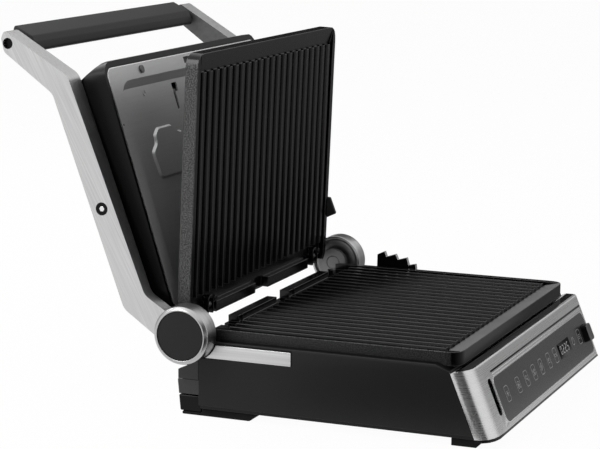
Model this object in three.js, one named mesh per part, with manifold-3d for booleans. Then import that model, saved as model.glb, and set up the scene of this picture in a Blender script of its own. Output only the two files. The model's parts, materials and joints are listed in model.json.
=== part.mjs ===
// An electric contact grill on a table, its lid held open and its upper plate tipped out of the lid.
// Millimetres; X to the right, Y to the rear, Z up. The hinge axis lies over Y = 0.
import * as THREE from 'three';
import { mergeVertices } from 'three/addons/utils/BufferGeometryUtils.js';
import Module from 'manifold-3d';

const wasm = await Module();
wasm.setup();

// Angles and counts
const openAngle = THREE.MathUtils.degToRad(107.5);
const tipAngle = THREE.MathUtils.degToRad(20);
const slopeTilt = THREE.MathUtils.degToRad(22.14);
const quarterTurn = Math.PI / 2;
const arcSteps = 5;
const roundSides = 40;
const boltSides = 20;
const tubeSides = 10;
const tubeSteps = 64;
const edgeShare = 0.45;
const halfShare = 0.5;
const quarterShare = 0.25;

// Clearances
const gap = 0.3;
const over = 1;
const easy = 0.6;

// Width of the base, which all other widths follow
const baseWidth = 311.5;
const baseHalf = baseWidth / 2;

// Hinge
const hingeHeight = 70.6;
const drumRadius = 23.6;
const drumApart = 1.45;
const drumWidth = 18.3;
const drumInner = baseHalf + drumApart;
const drumOuter = drumInner + drumWidth;
const drumBevel = 2.2;
const capMargin = 4;
const capRadius = drumRadius - capMargin;
const capDepth = 3.4;
const capDome = 0.5;
const drumWeb = 2.6;
const pinRadius = 6;
const bushWall = 2.3;
const hubRadius = 12.5;
const bracketThickness = 4.6;
const bracketApart = 1.8;
const bracketInner = drumInner - bracketApart - bracketThickness;
const bracketReach = 11.2;
const bracketNeck = 1.5;

// Base box, its upper edges counted down from the hinge
const coverThickness = 3.2;
const coverFoot = 10.3;
const coverDrop = 9.4;
const coverEdge = hingeHeight - coverDrop;
const coverBevel = 2.5;
const wallRear = 6.7;
const tubWall = 2.5;
const tubDrop = 18.9;
const tubTop = hingeHeight - tubDrop;
const bedSheet = 3.2;
const bedDrop = 7.2;
const bedLedge = hingeHeight - bedDrop;
const wellSideRim = 8;
const wellRearRim = 9;
const wellFrontRim = 14;
const trimHeight = 11.2;
const trimLow = coverEdge - trimHeight;
const trimFront = 87;
const trimThickness = 1.5;

// Grill plates
const plateInset = 9.75;
const plateHalf = baseHalf - plateInset;
const plateDepth = 217.5;
const plateThickness = 11;
const plateSetback = 5;
const plateFront = plateSetback + plateDepth;
const plateRise = 1.3;
const plateApart = 0.6;
const plateCorner = 13;
const plateSkin = 2.8;
const plateWall = 5;
const troughDepth = 5.2;
const sideRim = 6;
const rearRim = 9.1;
const frontRim = 15.5;
const apronDepth = 3.4;
const apronLip = 1;
const troughHalf = plateHalf - sideRim;
const ribPitch = 12.5;
const ribTop = 4;
const ribFoot = 7.4;
const ribRear = 19;
const ribCount = Math.floor((troughHalf + troughHalf - ribFoot) / ribPitch) + 1;
const rearCut = 5.4;
const spoutCut = 7;
const spoutLeft = 14;
const spoutRight = 13;
const highWallLeftInset = 52;
const highWallRightInset = 42;
const hookLeftInset = 41;
const hookRightInset = 26;
const hookWidth = 6;
const hookSlot = 15;
const hookLength = 5;

// Sloped front, its top counted down from the hinge and ahead of the plate
const slopeAhead = 10.8;
const slopeTopY = plateFront + slopeAhead;
const slopeDrop = 13.2;
const slopeTopZ = hingeHeight - slopeDrop;
const slopeFootZ = 5.7;
const slopeLength = (slopeTopZ - slopeFootZ) / Math.cos(slopeTilt);
const slopeFootY = slopeTopY + (slopeTopZ - slopeFootZ) * Math.tan(slopeTilt);
const coverDropInset = 27.3;
const coverDropY = slopeTopY - coverDropInset;
const frameDepth = 13.84;
const frameWall = 2;
const frameCornerWide = 30;
const frameCornerNear = 5;
const carrierRound = 9;
const deckStep = 2.1;
const deckHeight = slopeTopZ + deckStep;
const deckDepth = 11.3;
const deckRear = slopeTopY - deckDepth;
const deckRound = 3;

// Control panel, its places counted in from the sides of the base and down the slope
const glassLeftInset = 43.75;
const glassRightInset = 7.25;
const glassLeft = baseHalf - glassLeftInset;
const glassRight = baseHalf - glassRightInset;
const glassTop = 12.7;
const glassMargin = 6.8;
const glassFoot = slopeLength - glassMargin;
const glassMiddle = (glassTop + glassFoot) / 2;
const glassThickness = 1.7;
const glassCorner = 5;
const slotInset = 36.45;
const slotCentre = baseHalf - slotInset;
const slotWidth = 8.5;
const slotTop = 11;
const slotMargin = 8;
const slotFoot = glassFoot - slotMargin;
const buttonInset = 17.75;
const buttonCentre = baseHalf - buttonInset;
const buttonWidth = 13;
const buttonHeight = 15;
const buttonTop = glassMiddle - buttonHeight / 2;
const buttonFoot = buttonTop + buttonHeight;
const buttonProud = 5.5;
const buttonStem = 4.6;
const buttonCorner = 3;
const displayInset = 82.25;
const displayCentre = baseHalf - displayInset;
const displayWidth = 38;
const displayHeight = 15.5;
const displayLift = 2.1;
const displayTop = glassMiddle - displayLift - displayHeight / 2;
const displayFoot = displayTop + displayHeight;
const carrierFloor = 2;
const carrierWall = 2;
const carrierTop = 1.5;
const carrierFoot = glassFoot - carrierTop;
const boardThickness = 1.6;
const boardMargin = 4;

// Under the lower plate
const reflectorFlange = 5;
const reflectorSheet = 1;
const reflectorDepth = 17;
const heaterDiameter = 7;
const heaterInset = 42;
const heaterHalfWidth = plateHalf - heaterInset;
const heaterRearInset = 29;
const heaterRear = plateSetback + heaterRearInset;
const heaterFrontInset = 32.5;
const heaterFront = plateFront - heaterFrontInset;
const heaterBend = 22;
const heaterTail = 40;
const postRadius = 4;
const thermostatRadius = 8;
const thermostatHeight = 12;

// Feet
const footHeight = 6.4;
const footInset = 5.75;
const footOuter = baseHalf - footInset;
const footWidth = 22;
const footLip = 2.6;
const rearFootBack = 10.7;
const rearFootFront = 48.6;
const rearFootChamferY = 53.8;
const rearFootChamferZ = 4.3;
const rearFootEnd = 58.2;
const footTuck = 11.3;
const footLength = 25;
const footChamfer = 5;
const frontFootEnd = slopeFootY - footTuck;
const frontFootFront = frontFootEnd - footChamfer;
const frontFootBack = frontFootEnd - footLength;

// Rear of the base
const rearInset = 5.75;
const rearHalf = baseHalf - rearInset;
const rearCoverReach = 6.5;
const rearCoverDrop = 15.6;
const rearCoverTop = hingeHeight - rearCoverDrop;
const trayTop = 30;
const trayFoot = 2.9;
const trayReach = 14.9;
const trayReachLow = 12.4;
const cordBlockWidth = 46;
const trayRightEnd = rearHalf - cordBlockWidth;
const trayBodyLeftInset = 32;
const trayBodyLeft = rearHalf - trayBodyLeftInset;
const trayBodyRightInset = 4;
const trayBodyRight = trayRightEnd - trayBodyRightInset;
const trayBodyFoot = 9.5;
const trayBodyTop = 27;
const trayBodyFront = 52;
const trayWall = 2.5;
const chuteWidth = 26;
const chuteWall = 1.2;
const chuteDrop = 12.1;
const chuteTop = hingeHeight - chuteDrop;
const glandInset = 22;
const glandX = rearHalf - glandInset;
const glandZ = 17;
const glandRadius = 6.5;
const glandLength = 6;
const glandBore = 3.6;
const terminalWidth = 26;
const terminalDepth = 18;
const terminalHeight = 13;

// Heights of the hinge brackets over the tray
const bracketStand = 1.1;
const bracketFootZ = trayTop + bracketStand;
const bracketFootHeight = 7.5;
const bracketShoulder = bracketFootZ + bracketFootHeight;
const bracketNeckFoot = 13.2;
const bracketNeckHeight = 2.2;
const bracketWaistLow = bracketFootZ + bracketNeckFoot;
const bracketWaistHigh = bracketWaistLow + bracketNeckHeight;

// Height slider and its guide on the right-hand ledge
const sliderInset = 0.55;
const sliderOuter = baseHalf - sliderInset;
const guideRear = 40;
const guideFront = 116;
const guideHeight = 2.2;
const sliderRear = 43.6;
const sliderLength = 38.6;
const sliderOverHinge = 14.5;
const sliderTop = hingeHeight + sliderOverHinge;

// Lid head, its walls
const armInset = 5.5;
const armWidth = 19;
const armOuter = drumOuter - armInset;
const armTipInner = armOuter - armWidth;
const headApart = 1;
const headHalfWidth = armTipInner - headApart;
const headRim = plateRise + plateApart + plateThickness + gap;
const headHeight = 37.8;
const headTop = headRim + headHeight;
const headLip = 3.2;
const headFront = plateFront + headLip;
const headBack = 5;
const headTopBack = 25;
const headBackRound = 5;
const headCorner = 18;
const headSideWall = 3.7;
const headFrontWall = 5.8;
const headRoof = 2.5;
const headPocket = 17;
const headPocketRise = 3.3;

// Pan in the head
const panHalfWidth = headHalfWidth - headSideWall - gap;
const panSheet = 1.2;
const panFront = headFront - headFrontWall - gap;
const panBack = headPocket + gap;
const panCorner = 14;
const panRecess = 6;
const panSlope = 6.5;
const panSideMargin = 15;
const panFrontMargin = 12.7;
const panBackMargin = 13;
const panRecessHalf = panHalfWidth - panSideMargin;
const panRecessFront = panFront - panFrontMargin;
const panRecessBack = headPocket + panBackMargin;
const catchWidth = 12;
const catchLength = 5.5;
const catchMargin = 3.1;
const catchFront = panFront - catchMargin;
const catchBack = catchFront - catchLength;
const catchDepth = 7;
const catchHeight = 7;
const secondHoleLeft = 29.6;
const secondHoleRight = 20;
const secondHoleMargin = 9.5;
const secondHoleLength = 7.8;
const secondHoleFront = panRecessFront - secondHoleMargin;
const secondHoleBack = secondHoleFront - secondHoleLength;
const tongueWidth = 4;
const tongueLength = 15;
const tongueBack = secondHoleBack - tongueLength;
const panScrewRadius = 3.4;
const panScrewHead = 1.1;
const panScrewDepth = 2.5;
const panScrewSideInset = 59.5;
const panScrewFrontInset = 6;
const panScrewBackInset = 6.7;
const panScrewPlaces = {
  pan_screw_1: { x: panScrewSideInset - panHalfWidth, y: panFront - panScrewFrontInset },
  pan_screw_2: { x: panHalfWidth - panScrewSideInset, y: panFront - panScrewFrontInset },
  pan_screw_3: { x: 0, y: panBack + panScrewBackInset },
};

// Handle frame
const gripRoom = 46;
const armReach = headFront + gripRoom;
const armRise = 84.5;
const armBend = 13;
const armRootShare = 0.14;
const armKneeShare = 0.78;
const tipHoleInset = 11;
const tipHoleDrop = 5.5;
const tipHoleY = armReach - tipHoleInset;
const tipHoleZ = armRise - tipHoleDrop;
const tipHoleRadius = 4.5;
const tipHoleDepth = 13;
const tipHoleFloor = armOuter - tipHoleDepth;
const boltLength = 9;
const gripEndInset = 5;
const gripEnd = armTipInner - gripEndInset;
const collarInner = gripEnd + gap;
const collarRadius = 5.6;
const gripAhead = 3.5;
const gripDrop = 0.1;
const gripReach = armReach + gripAhead;
const gripRise = armRise - gripDrop;
const gripRound = 4;
const pivotHeadRadius = 5;
const pivotHeadLength = 2.4;
const pivotRecess = 3.2;
const pivotShank = 3.4;
const pivotReachIn = 2.5;
const pivotEnd = headHalfWidth - pivotReachIn;
const pivotBushWall = 2.2;

// Arm outline: shares of the reach and the rise from the hinge axis to the tip
const armUpperRoot = [0.116, 0.527, 1];
const armUpperKnee = [0.78, 0.621, 1];
const armLowerKnee = [0.817, 0.413, 1];
const armLowerRoot = [0.14, 0.272, 1];
const armOutlineShares = [
  [-0.018, 0.195, 0],
  armUpperRoot,
  armUpperKnee,
  [0.939, 1, 0.5],
  [0.981, 0.989, 0.3],
  [1, 0.933, 0.3],
  armLowerKnee,
  armLowerRoot,
  [0.052, 0.032, 0],
];
const edgeRise = ([along0, up0], [along1, up1], y) => THREE.MathUtils.mapLinear(y, along0 * armReach,
  along1 * armReach, up0 * armRise, up1 * armRise);
const pivotY = 113.1;
const pivotLift = 0.62;
const pivotZ = (edgeRise(armUpperRoot, armUpperKnee, pivotY) + edgeRise(armLowerRoot, armLowerKnee, pivotY)) / 2
  + pivotLift;

// Height stop and hooks on the head
const stopThickness = 3.2;
const stopInner = headHalfWidth - stopThickness;
const stopBack = 42.5;
const stopFront = 60.4;
const stopDrop = 17.8;
const stopHeel = 3.3;
const stopShoulder = 8.8;
const stopToe = 2;
const tipAxisY = 13;
const tipAxisZ = 4.8;
const hookTipRadius = 2.2;

// Materials
const finish = (color, roughness, metalness) => new THREE.MeshStandardMaterial({ color, roughness, metalness });
const blackPlastic = finish(0x17181a, 0.45, 0);
const greyPlastic = finish(0x35373a, 0.4, 0);
const steel = finish(0xc9cacc, 0.32, 1);
const darkSteel = finish(0x6d7074, 0.4, 1);
const castCoating = finish(0x1c1d1f, 0.55, 0.2);
const aluminium = finish(0x9a9c9f, 0.4, 1);
const glass = finish(0x3d4044, 0.12, 0);
const rubber = finish(0x101011, 0.8, 0);
const boardGreen = finish(0x1f4a33, 0.6, 0);

// Closed solid of a three.js geometry, its faces turned outwards
function solid(geometry) {
  geometry.deleteAttribute('normal');
  geometry.deleteAttribute('uv');
  const merged = mergeVertices(geometry);
  const vertProperties = new Float32Array(merged.attributes.position.array);
  const triVerts = new Uint32Array(merged.index.array);
  const made = new wasm.Manifold(new wasm.Mesh({ numProp: 3, vertProperties, triVerts }));
  if (made.volume() > 0) return made;
  return new wasm.Manifold(new wasm.Mesh({ numProp: 3, vertProperties, triVerts: triVerts.reverse() }));
}

// Shape through corners [a, b, radius], each rounded as far as its edges allow
function outline(corners) {
  const shape = new THREE.Shape();
  const count = corners.length;
  corners.forEach(([a, b, radius = 0], i) => {
    const corner = new THREE.Vector2(a, b);
    const before = new THREE.Vector2(...corners[(i + count - 1) % count].slice(0, 2)).sub(corner);
    const after = new THREE.Vector2(...corners[(i + 1) % count].slice(0, 2)).sub(corner);
    const halfAngle = before.angleTo(after) / 2;
    const longest = Math.min(before.length(), after.length()) * edgeShare;
    const run = Math.min(radius / Math.tan(halfAngle), longest);
    const start = corner.clone().add(before.setLength(run));
    const end = corner.clone().add(after.setLength(run));
    if (i === 0) shape.moveTo(start.x, start.y);
    else shape.lineTo(start.x, start.y);
    if (run > 0) shape.quadraticCurveTo(corner.x, corner.y, end.x, end.y);
  });
  return shape;
}

const xAxis = new THREE.Vector3(1, 0, 0);
const yAxis = new THREE.Vector3(0, 1, 0);
const zAxis = new THREE.Vector3(0, 0, 1);
const backward = yAxis.clone().negate();
const acrossBasis = new THREE.Matrix4().makeBasis(yAxis, zAxis, xAxis);
const lengthwiseBasis = new THREE.Matrix4().makeBasis(xAxis, zAxis, backward);
const uprightBasis = new THREE.Matrix4();

function extruded(shape, from, to, basis) {
  const low = Math.min(from, to);
  const depth = Math.abs(to - from);
  const geometry = new THREE.ExtrudeGeometry(shape, { depth, bevelEnabled: false, curveSegments: arcSteps });
  geometry.translate(0, 0, low);
  geometry.applyMatrix4(basis);
  return solid(geometry);
}

// Outline in (y, z) between two values of x, in (x, y) between two of z, and in (x, z) between two of y
const across = (corners, x0, x1) => extruded(outline(corners), x0, x1, acrossBasis);
const upright = (corners, z0, z1) => extruded(outline(corners), z0, z1, uprightBasis);
const lengthwise = (corners, y0, y1) => extruded(outline(corners), -y0, -y1, lengthwiseBasis);

const rectangle = (a0, a1, b0, b1, radius = 0) => [
  [a0, b0, radius],
  [a1, b0, radius],
  [a1, b1, radius],
  [a0, b1, radius],
];
const block = (x0, x1, y0, y1, z0, z1, radius = 0) => upright(rectangle(x0, x1, y0, y1, radius), z0, z1);

// Cylinder along X through (y, z), and along Z through (x, y)
function rod(radius, x0, x1, y = 0, z = 0, sides = roundSides) {
  const geometry = new THREE.CylinderGeometry(radius, radius, Math.abs(x1 - x0), sides);
  geometry.rotateZ(quarterTurn);
  geometry.translate((x0 + x1) / 2, y, z);
  return solid(geometry);
}
function post(radius, z0, z1, x, y, sides = boltSides) {
  const geometry = new THREE.CylinderGeometry(radius, radius, Math.abs(z1 - z0), sides);
  geometry.rotateX(quarterTurn);
  geometry.translate(x, y, (z0 + z1) / 2);
  return solid(geometry);
}

// Turned solid about X from a profile of [x, radius]
function turned(profile, sides = roundSides) {
  const points = profile.map(([x, radius]) => new THREE.Vector2(radius, x));
  const geometry = new THREE.LatheGeometry(points, sides);
  geometry.rotateZ(-quarterTurn);
  return solid(geometry);
}

// Round tube along a path of straight runs with rounded bends
function bentTube(places, diameter, bend) {
  const path = new THREE.CurvePath();
  let last = new THREE.Vector3(...places[0]);
  for (let i = 1; i < places.length - 1; i += 1) {
    const corner = new THREE.Vector3(...places[i]);
    const inward = new THREE.Vector3(...places[i - 1]).sub(corner).setLength(bend);
    const onward = new THREE.Vector3(...places[i + 1]).sub(corner).setLength(bend);
    const start = corner.clone().add(inward);
    const end = corner.clone().add(onward);
    path.add(new THREE.LineCurve3(last, start));
    path.add(new THREE.QuadraticBezierCurve3(start, corner, end));
    last = end;
  }
  path.add(new THREE.LineCurve3(last, new THREE.Vector3(...places.at(-1))));
  const section = new THREE.Shape();
  section.absarc(0, 0, diameter / 2, 0, Math.PI * 2);
  const geometry = new THREE.ExtrudeGeometry(section, {
    steps: tubeSteps,
    curveSegments: tubeSides,
    extrudePath: path,
    bevelEnabled: false,
  });
  return solid(geometry);
}

// Low dish: an outline that widens by run from its top face down to its foot
function dish(corners, z0, height, run) {
  const geometry = new THREE.ExtrudeGeometry(outline(corners), {
    depth: gap,
    bevelThickness: height,
    bevelSize: run,
    bevelSegments: 1,
    curveSegments: arcSteps,
  });
  geometry.translate(0, 0, z0 - gap);
  const reach = baseWidth;
  return solid(geometry).intersect(block(-reach, reach, -reach, reach, z0, z0 + height));
}

const root = new THREE.Group();

function part(name, made, material, parent = root) {
  const mesh = made.getMesh();
  const geometry = new THREE.BufferGeometry();
  geometry.setAttribute('position', new THREE.BufferAttribute(mesh.vertProperties, 3));
  geometry.setIndex(new THREE.BufferAttribute(mesh.triVerts, 1));
  geometry.computeVertexNormals();
  const node = new THREE.Mesh(geometry, material);
  node.name = name;
  parent.add(node);
  return node;
}

const sides = [
  { name: 'left', s: -1 },
  { name: 'right', s: 1 },
];

// Y of a plane parallel to the sloped front, a depth behind it, at a height
const slopeY = (z, depth) => -slopeTopY + depth / Math.cos(slopeTilt) + (z - slopeTopZ) * Math.tan(slopeTilt);

// Base tub, open at the top, with a doorway at the rear for the drip tray
const tubHalf = baseHalf - coverThickness - gap;
const tubFoot = footHeight + gap;
const jointDepth = frameDepth + gap;
const hubClear = hubRadius + gap;
const slopePoint = (z, depth) => [slopeY(z, depth), z];

function baseTub() {
  const shell = across([
    [-wallRear, tubFoot],
    [-wallRear, tubTop],
    slopePoint(tubTop, jointDepth),
    slopePoint(tubFoot, jointDepth),
  ], -tubHalf, tubHalf);
  const inner = tubHalf - tubWall;
  const floor = tubFoot + tubWall;
  const hollow = across([
    [-wallRear - tubWall, floor],
    [-wallRear - tubWall, tubTop + over],
    slopePoint(tubTop + over, jointDepth + tubWall),
    slopePoint(floor, jointDepth + tubWall),
  ], -inner, inner);
  const doorway = block(-trayBodyLeft - easy, trayBodyRight + easy, -wallRear - tubWall - over,
    -wallRear + over, floor, trayTop);
  return shell.subtract(hollow).subtract(doorway);
}
part('base_tub', baseTub(), blackPlastic);

// Side covers, bevelled inwards at the top, with a pocket for the steel trim
const coverOuter = baseHalf;
const coverInner = coverOuter - coverThickness;
const coverTop = coverEdge + coverBevel;

function sideCover(s) {
  const sheet = across([
    [-wallRear, coverFoot],
    [-wallRear, coverTop],
    [-coverDropY, coverTop],
    slopePoint(deckHeight - gap, jointDepth),
    slopePoint(coverFoot, jointDepth),
  ], s * coverInner, s * coverOuter);
  const bevel = lengthwise([
    [s * coverOuter, coverEdge],
    [s * (coverOuter + coverBevel), coverEdge],
    [s * (coverOuter + coverBevel), coverTop + over],
    [s * (coverInner + coverBevel), coverTop + over],
    [s * (coverInner + coverBevel), coverTop],
  ], -slopeTopY, over);
  const pocket = block(s * (coverOuter - trimThickness), s * (coverOuter + over), -trimFront - gap,
    over, trimLow - gap, coverEdge + over);
  const hub = rod(hubClear, s * (coverInner - over), s * (coverOuter + over), 0, hingeHeight);
  return sheet.subtract(bevel).subtract(pocket).subtract(hub);
}

function sideTrim(s) {
  const inner = s * (coverOuter - trimThickness + gap);
  const strip = block(inner, s * (coverOuter + gap), -trimFront, -wallRear, trimLow, coverEdge);
  return strip.subtract(rod(drumRadius + easy, inner - over * s, s * drumOuter, 0, hingeHeight));
}

for (const { name, s } of sides) {
  part(`side_cover_${name}`, sideCover(s), blackPlastic);
  part(`side_trim_${name}`, sideTrim(s), steel);
}

// Plate bed: the deck that closes the tub and carries the lower plate
const rimHeight = hingeHeight + plateRise;
const plateFoot = rimHeight - plateThickness;
const bedTop = plateFoot - gap;
const bedFoot = tubTop + gap;
const bedUnder = bedTop - bedSheet;
const wellHalf = plateHalf - wellSideRim;
const wellRear = plateSetback + wellRearRim;
const wellFront = plateFront - wellFrontRim;

function plateBed() {
  const body = across([
    [-wallRear, bedFoot],
    [-wallRear, bedLedge],
    [-coverDropY, bedLedge],
    slopePoint(deckHeight - gap, jointDepth),
    slopePoint(bedFoot, jointDepth),
  ], -tubHalf, tubHalf);
  const seat = block(-plateHalf - gap, plateHalf + gap, -slopeTopY, over, bedTop, bedLedge + over);
  const under = block(-tubHalf + tubWall, tubHalf - tubWall, slopeY(bedUnder, jointDepth + tubWall),
    -wallRear - tubWall, bedFoot - over, bedUnder);
  const well = block(-wellHalf, wellHalf, -wellFront, -wellRear, bedFoot - over, bedTop + over);
  const stopSlot = block(plateHalf, headHalfWidth + gap, -stopFront - stopHeel, -stopBack + stopHeel,
    bedFoot - over, bedLedge + over);
  const hubs = rod(hubClear, -bracketInner + gap, -coverOuter, 0, hingeHeight)
    .add(rod(hubClear, bracketInner - gap, coverOuter, 0, hingeHeight));
  return body.subtract(seat).subtract(under).subtract(well).subtract(stopSlot).subtract(hubs);
}
part('plate_bed', plateBed(), blackPlastic);

// Reflector pan hung under the bed, with its heater loop, posts and thermostat
const reflectorTop = bedUnder - gap;
const reflectorHalf = wellHalf - gap;
const reflectorRear = wellRear + gap;
const reflectorFront = wellFront - gap;
const reflectorFloor = reflectorTop - reflectorDepth;
const heaterZ = reflectorFloor + reflectorSheet + reflectorDepth * halfShare;

function baseReflector() {
  const flange = block(-reflectorHalf - reflectorFlange, reflectorHalf + reflectorFlange,
    -reflectorFront - reflectorFlange, -reflectorRear + reflectorFlange,
    reflectorTop - reflectorSheet, reflectorTop);
  const box = block(-reflectorHalf, reflectorHalf, -reflectorFront, -reflectorRear, reflectorFloor, reflectorTop);
  const hollow = block(-reflectorHalf + reflectorSheet, reflectorHalf - reflectorSheet,
    -reflectorFront + reflectorSheet, -reflectorRear - reflectorSheet, reflectorFloor + reflectorSheet,
    reflectorTop + over);
  let made = flange.add(box).subtract(hollow);
  for (const s of [-1, 1]) {
    const middle = -(heaterRear + heaterFront) / 2;
    const postTop = heaterZ - heaterDiameter / 2 - gap;
    made = made.add(post(postRadius, reflectorFloor, postTop, s * heaterHalfWidth, middle));
  }
  return made;
}
part('base_reflector', baseReflector(), aluminium);

// Heater: one loop with both ends at the rear
const heaterLoop = (z) => [
  [-heaterTail, -heaterRear, z],
  [-heaterHalfWidth, -heaterRear, z],
  [-heaterHalfWidth, -heaterFront, z],
  [heaterHalfWidth, -heaterFront, z],
  [heaterHalfWidth, -heaterRear, z],
  [heaterTail, -heaterRear, z],
];
part('lower_heater', bentTube(heaterLoop(heaterZ), heaterDiameter, heaterBend), darkSteel);
const plateMiddle = plateSetback + plateDepth / 2;
const thermostatFoot = reflectorFloor + reflectorSheet + gap;
part('lower_thermostat', post(thermostatRadius, thermostatFoot, plateFoot + plateThickness - troughDepth
  - plateSkin - gap, 0, -plateMiddle), steel);

// Grill plate, its rims in the plane z = 0 and its hinge edge on y = 0; s is the side its front lies on
const hookLeftX = hookLeftInset - plateHalf;
const hookRightX = plateHalf - hookRightInset;
function grillPlate(s) {
  const y = (inset) => s * inset;
  const troughFront = plateDepth - frontRim;
  const body = block(-plateHalf, plateHalf, y(0), y(plateDepth), -plateThickness, 0, plateCorner);
  const trough = block(-troughHalf, troughHalf, y(rearRim), y(troughFront), -troughDepth, over, gap);
  const under = block(-plateHalf + plateWall, plateHalf - plateWall, y(plateWall), y(plateDepth - plateWall),
    -plateThickness - over, -troughDepth - plateSkin, plateCorner);
  const apron = across([
    [y(troughFront - over), -apronDepth],
    [y(troughFront), -apronDepth],
    [y(plateDepth - apronLip), 0],
    [y(plateDepth - apronLip), over],
    [y(troughFront - over), over],
  ], -troughHalf, troughHalf);
  let made = body.subtract(trough).subtract(under).subtract(apron);
  const lowered = (x0, x1, cut) => block(x0, x1, y(-over), y(rearRim + over), -cut, over);
  made = made.subtract(lowered(-troughHalf, highWallLeftInset - plateHalf, rearCut));
  made = made.subtract(lowered(-spoutLeft, spoutRight, spoutCut));
  made = made.subtract(lowered(plateHalf - highWallRightInset, troughHalf, rearCut));
  for (const x of [hookLeftX, hookRightX]) {
    const half = hookWidth / 2 + gap;
    made = made.subtract(block(x - half, x + half, y(-over), y(hookSlot), -plateThickness - over, over));
  }
  const rib = lengthwise([
    [-ribFoot / 2, -troughDepth - gap],
    [ribFoot / 2, -troughDepth - gap],
    [ribTop / 2, 0],
    [-ribTop / 2, 0],
  ], y(ribRear), y(troughFront + gap));
  const firstRib = -ribPitch * (ribCount - 1) / 2;
  const ribs = Array.from({ length: ribCount }, (_, i) => rib.translate([firstRib + i * ribPitch, 0, 0]));
  return wasm.Manifold.union([made, ...ribs]);
}
part('lower_plate', grillPlate(-1), castCoating)
  .position.set(0, -plateSetback, rimHeight);

// Feet
function rearFoot(s) {
  return across([
    [rearFootBack, 0],
    [rearFootBack, footLip],
    [-wallRear, footLip],
    [-wallRear, footHeight],
    [-rearFootEnd, footHeight],
    [-rearFootChamferY, rearFootChamferZ],
    [-rearFootFront, 0],
  ], s * (footOuter - footWidth), s * footOuter);
}
function frontFoot(s) {
  return across([
    [-frontFootBack, 0],
    [-frontFootBack, footHeight],
    [slopeY(footHeight, jointDepth), footHeight],
    [slopeY(footHeight, jointDepth), slopeFootZ - gap],
    [-frontFootEnd, slopeFootZ - gap],
    [-frontFootFront, 0],
  ], s * (footOuter - footWidth), s * footOuter);
}
for (const { name, s } of sides) {
  part(`foot_rear_${name}`, rearFoot(s), rubber);
  part(`foot_front_${name}`, frontFoot(s), rubber);
}

// Rear cover over the tray, with a slot for the drip chute
const rearFace = -wallRear + gap;
const chuteHalf = chuteWidth / 2;
const chuteRear = rearCoverReach - tubWall;

function rearCover() {
  const foot = trayTop + gap;
  const box = block(-rearHalf, rearHalf, rearFace, rearCoverReach, foot, rearCoverTop);
  const inner = rearHalf - tubWall;
  const hollow = block(-inner, inner, rearFace - over, rearCoverReach - tubWall,
    foot + tubWall, rearCoverTop - tubWall);
  const slot = block(-chuteHalf - gap, chuteHalf + gap, rearFace - over, chuteRear + gap,
    foot - over, rearCoverTop + over);
  return box.subtract(hollow).subtract(slot);
}
part('rear_cover', rearCover(), blackPlastic);

function dripChute() {
  const outer = block(-chuteHalf, chuteHalf, rearFace, chuteRear, trayTop + gap, chuteTop);
  const bore = block(-chuteHalf + chuteWall, chuteHalf - chuteWall, rearFace + chuteWall, chuteRear - chuteWall,
    trayTop - over, chuteTop + over);
  return outer.subtract(bore);
}
part('drip_chute', dripChute(), blackPlastic);

// Block beside the tray that holds the cord gland
const rearBlockOutline = [
  [rearFace, trayFoot],
  [rearFace, trayTop],
  [trayReach, trayTop, trayWall],
  [trayReachLow, trayFoot],
];
const glandY = (trayReach + trayReachLow) / 2;

function cordBlock() {
  const body = across(rearBlockOutline, trayRightEnd + easy, rearHalf);
  const hollow = block(trayRightEnd + easy + trayWall, rearHalf - trayWall, rearFace - over,
    trayReachLow - trayWall, trayFoot + trayWall, trayTop - trayWall);
  const port = lengthwise([
    [glandX - glandRadius - gap, glandZ - glandRadius - gap, glandRadius],
    [glandX + glandRadius + gap, glandZ - glandRadius - gap, glandRadius],
    [glandX + glandRadius + gap, glandZ + glandRadius + gap, glandRadius],
    [glandX - glandRadius - gap, glandZ + glandRadius + gap, glandRadius],
  ], 0, trayReach + over);
  return body.subtract(hollow).subtract(port);
}
part('cord_block', cordBlock(), blackPlastic);

function cordGland() {
  const ring = (radius, y0, y1) => lengthwise([
    [glandX - radius, glandZ - radius, radius],
    [glandX + radius, glandZ - radius, radius],
    [glandX + radius, glandZ + radius, radius],
    [glandX - radius, glandZ + radius, radius],
  ], y0, y1);
  const inside = trayReachLow - trayWall - over;
  return ring(glandRadius, inside, glandY + glandLength)
    .subtract(ring(glandBore, inside - over, glandY + glandLength + over));
}
part('cord_gland', cordGland(), rubber);
const terminalRight = tubHalf - tubWall - terminalHeight;
const terminalRear = -wallRear - tubWall - easy;
const terminalFoot = tubFoot + tubWall + gap;
part('terminal_block', block(terminalRight - terminalWidth, terminalRight, terminalRear - terminalDepth,
  terminalRear, terminalFoot, terminalFoot + terminalHeight), greyPlastic);

// Drip tray, drawn out to the rear
function dripTray() {
  const face = across(rearBlockOutline, -rearHalf, trayRightEnd);
  const body = block(-trayBodyLeft, trayBodyRight, -trayBodyFront, rearFace + over, trayBodyFoot, trayBodyTop);
  const hollow = block(-trayBodyLeft + trayWall, trayBodyRight - trayWall, -trayBodyFront + trayWall,
    trayReachLow - trayWall, trayBodyFoot + trayWall, trayTop + over);
  return face.add(body).subtract(hollow);
}
part('drip_tray', dripTray(), blackPlastic);

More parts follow.
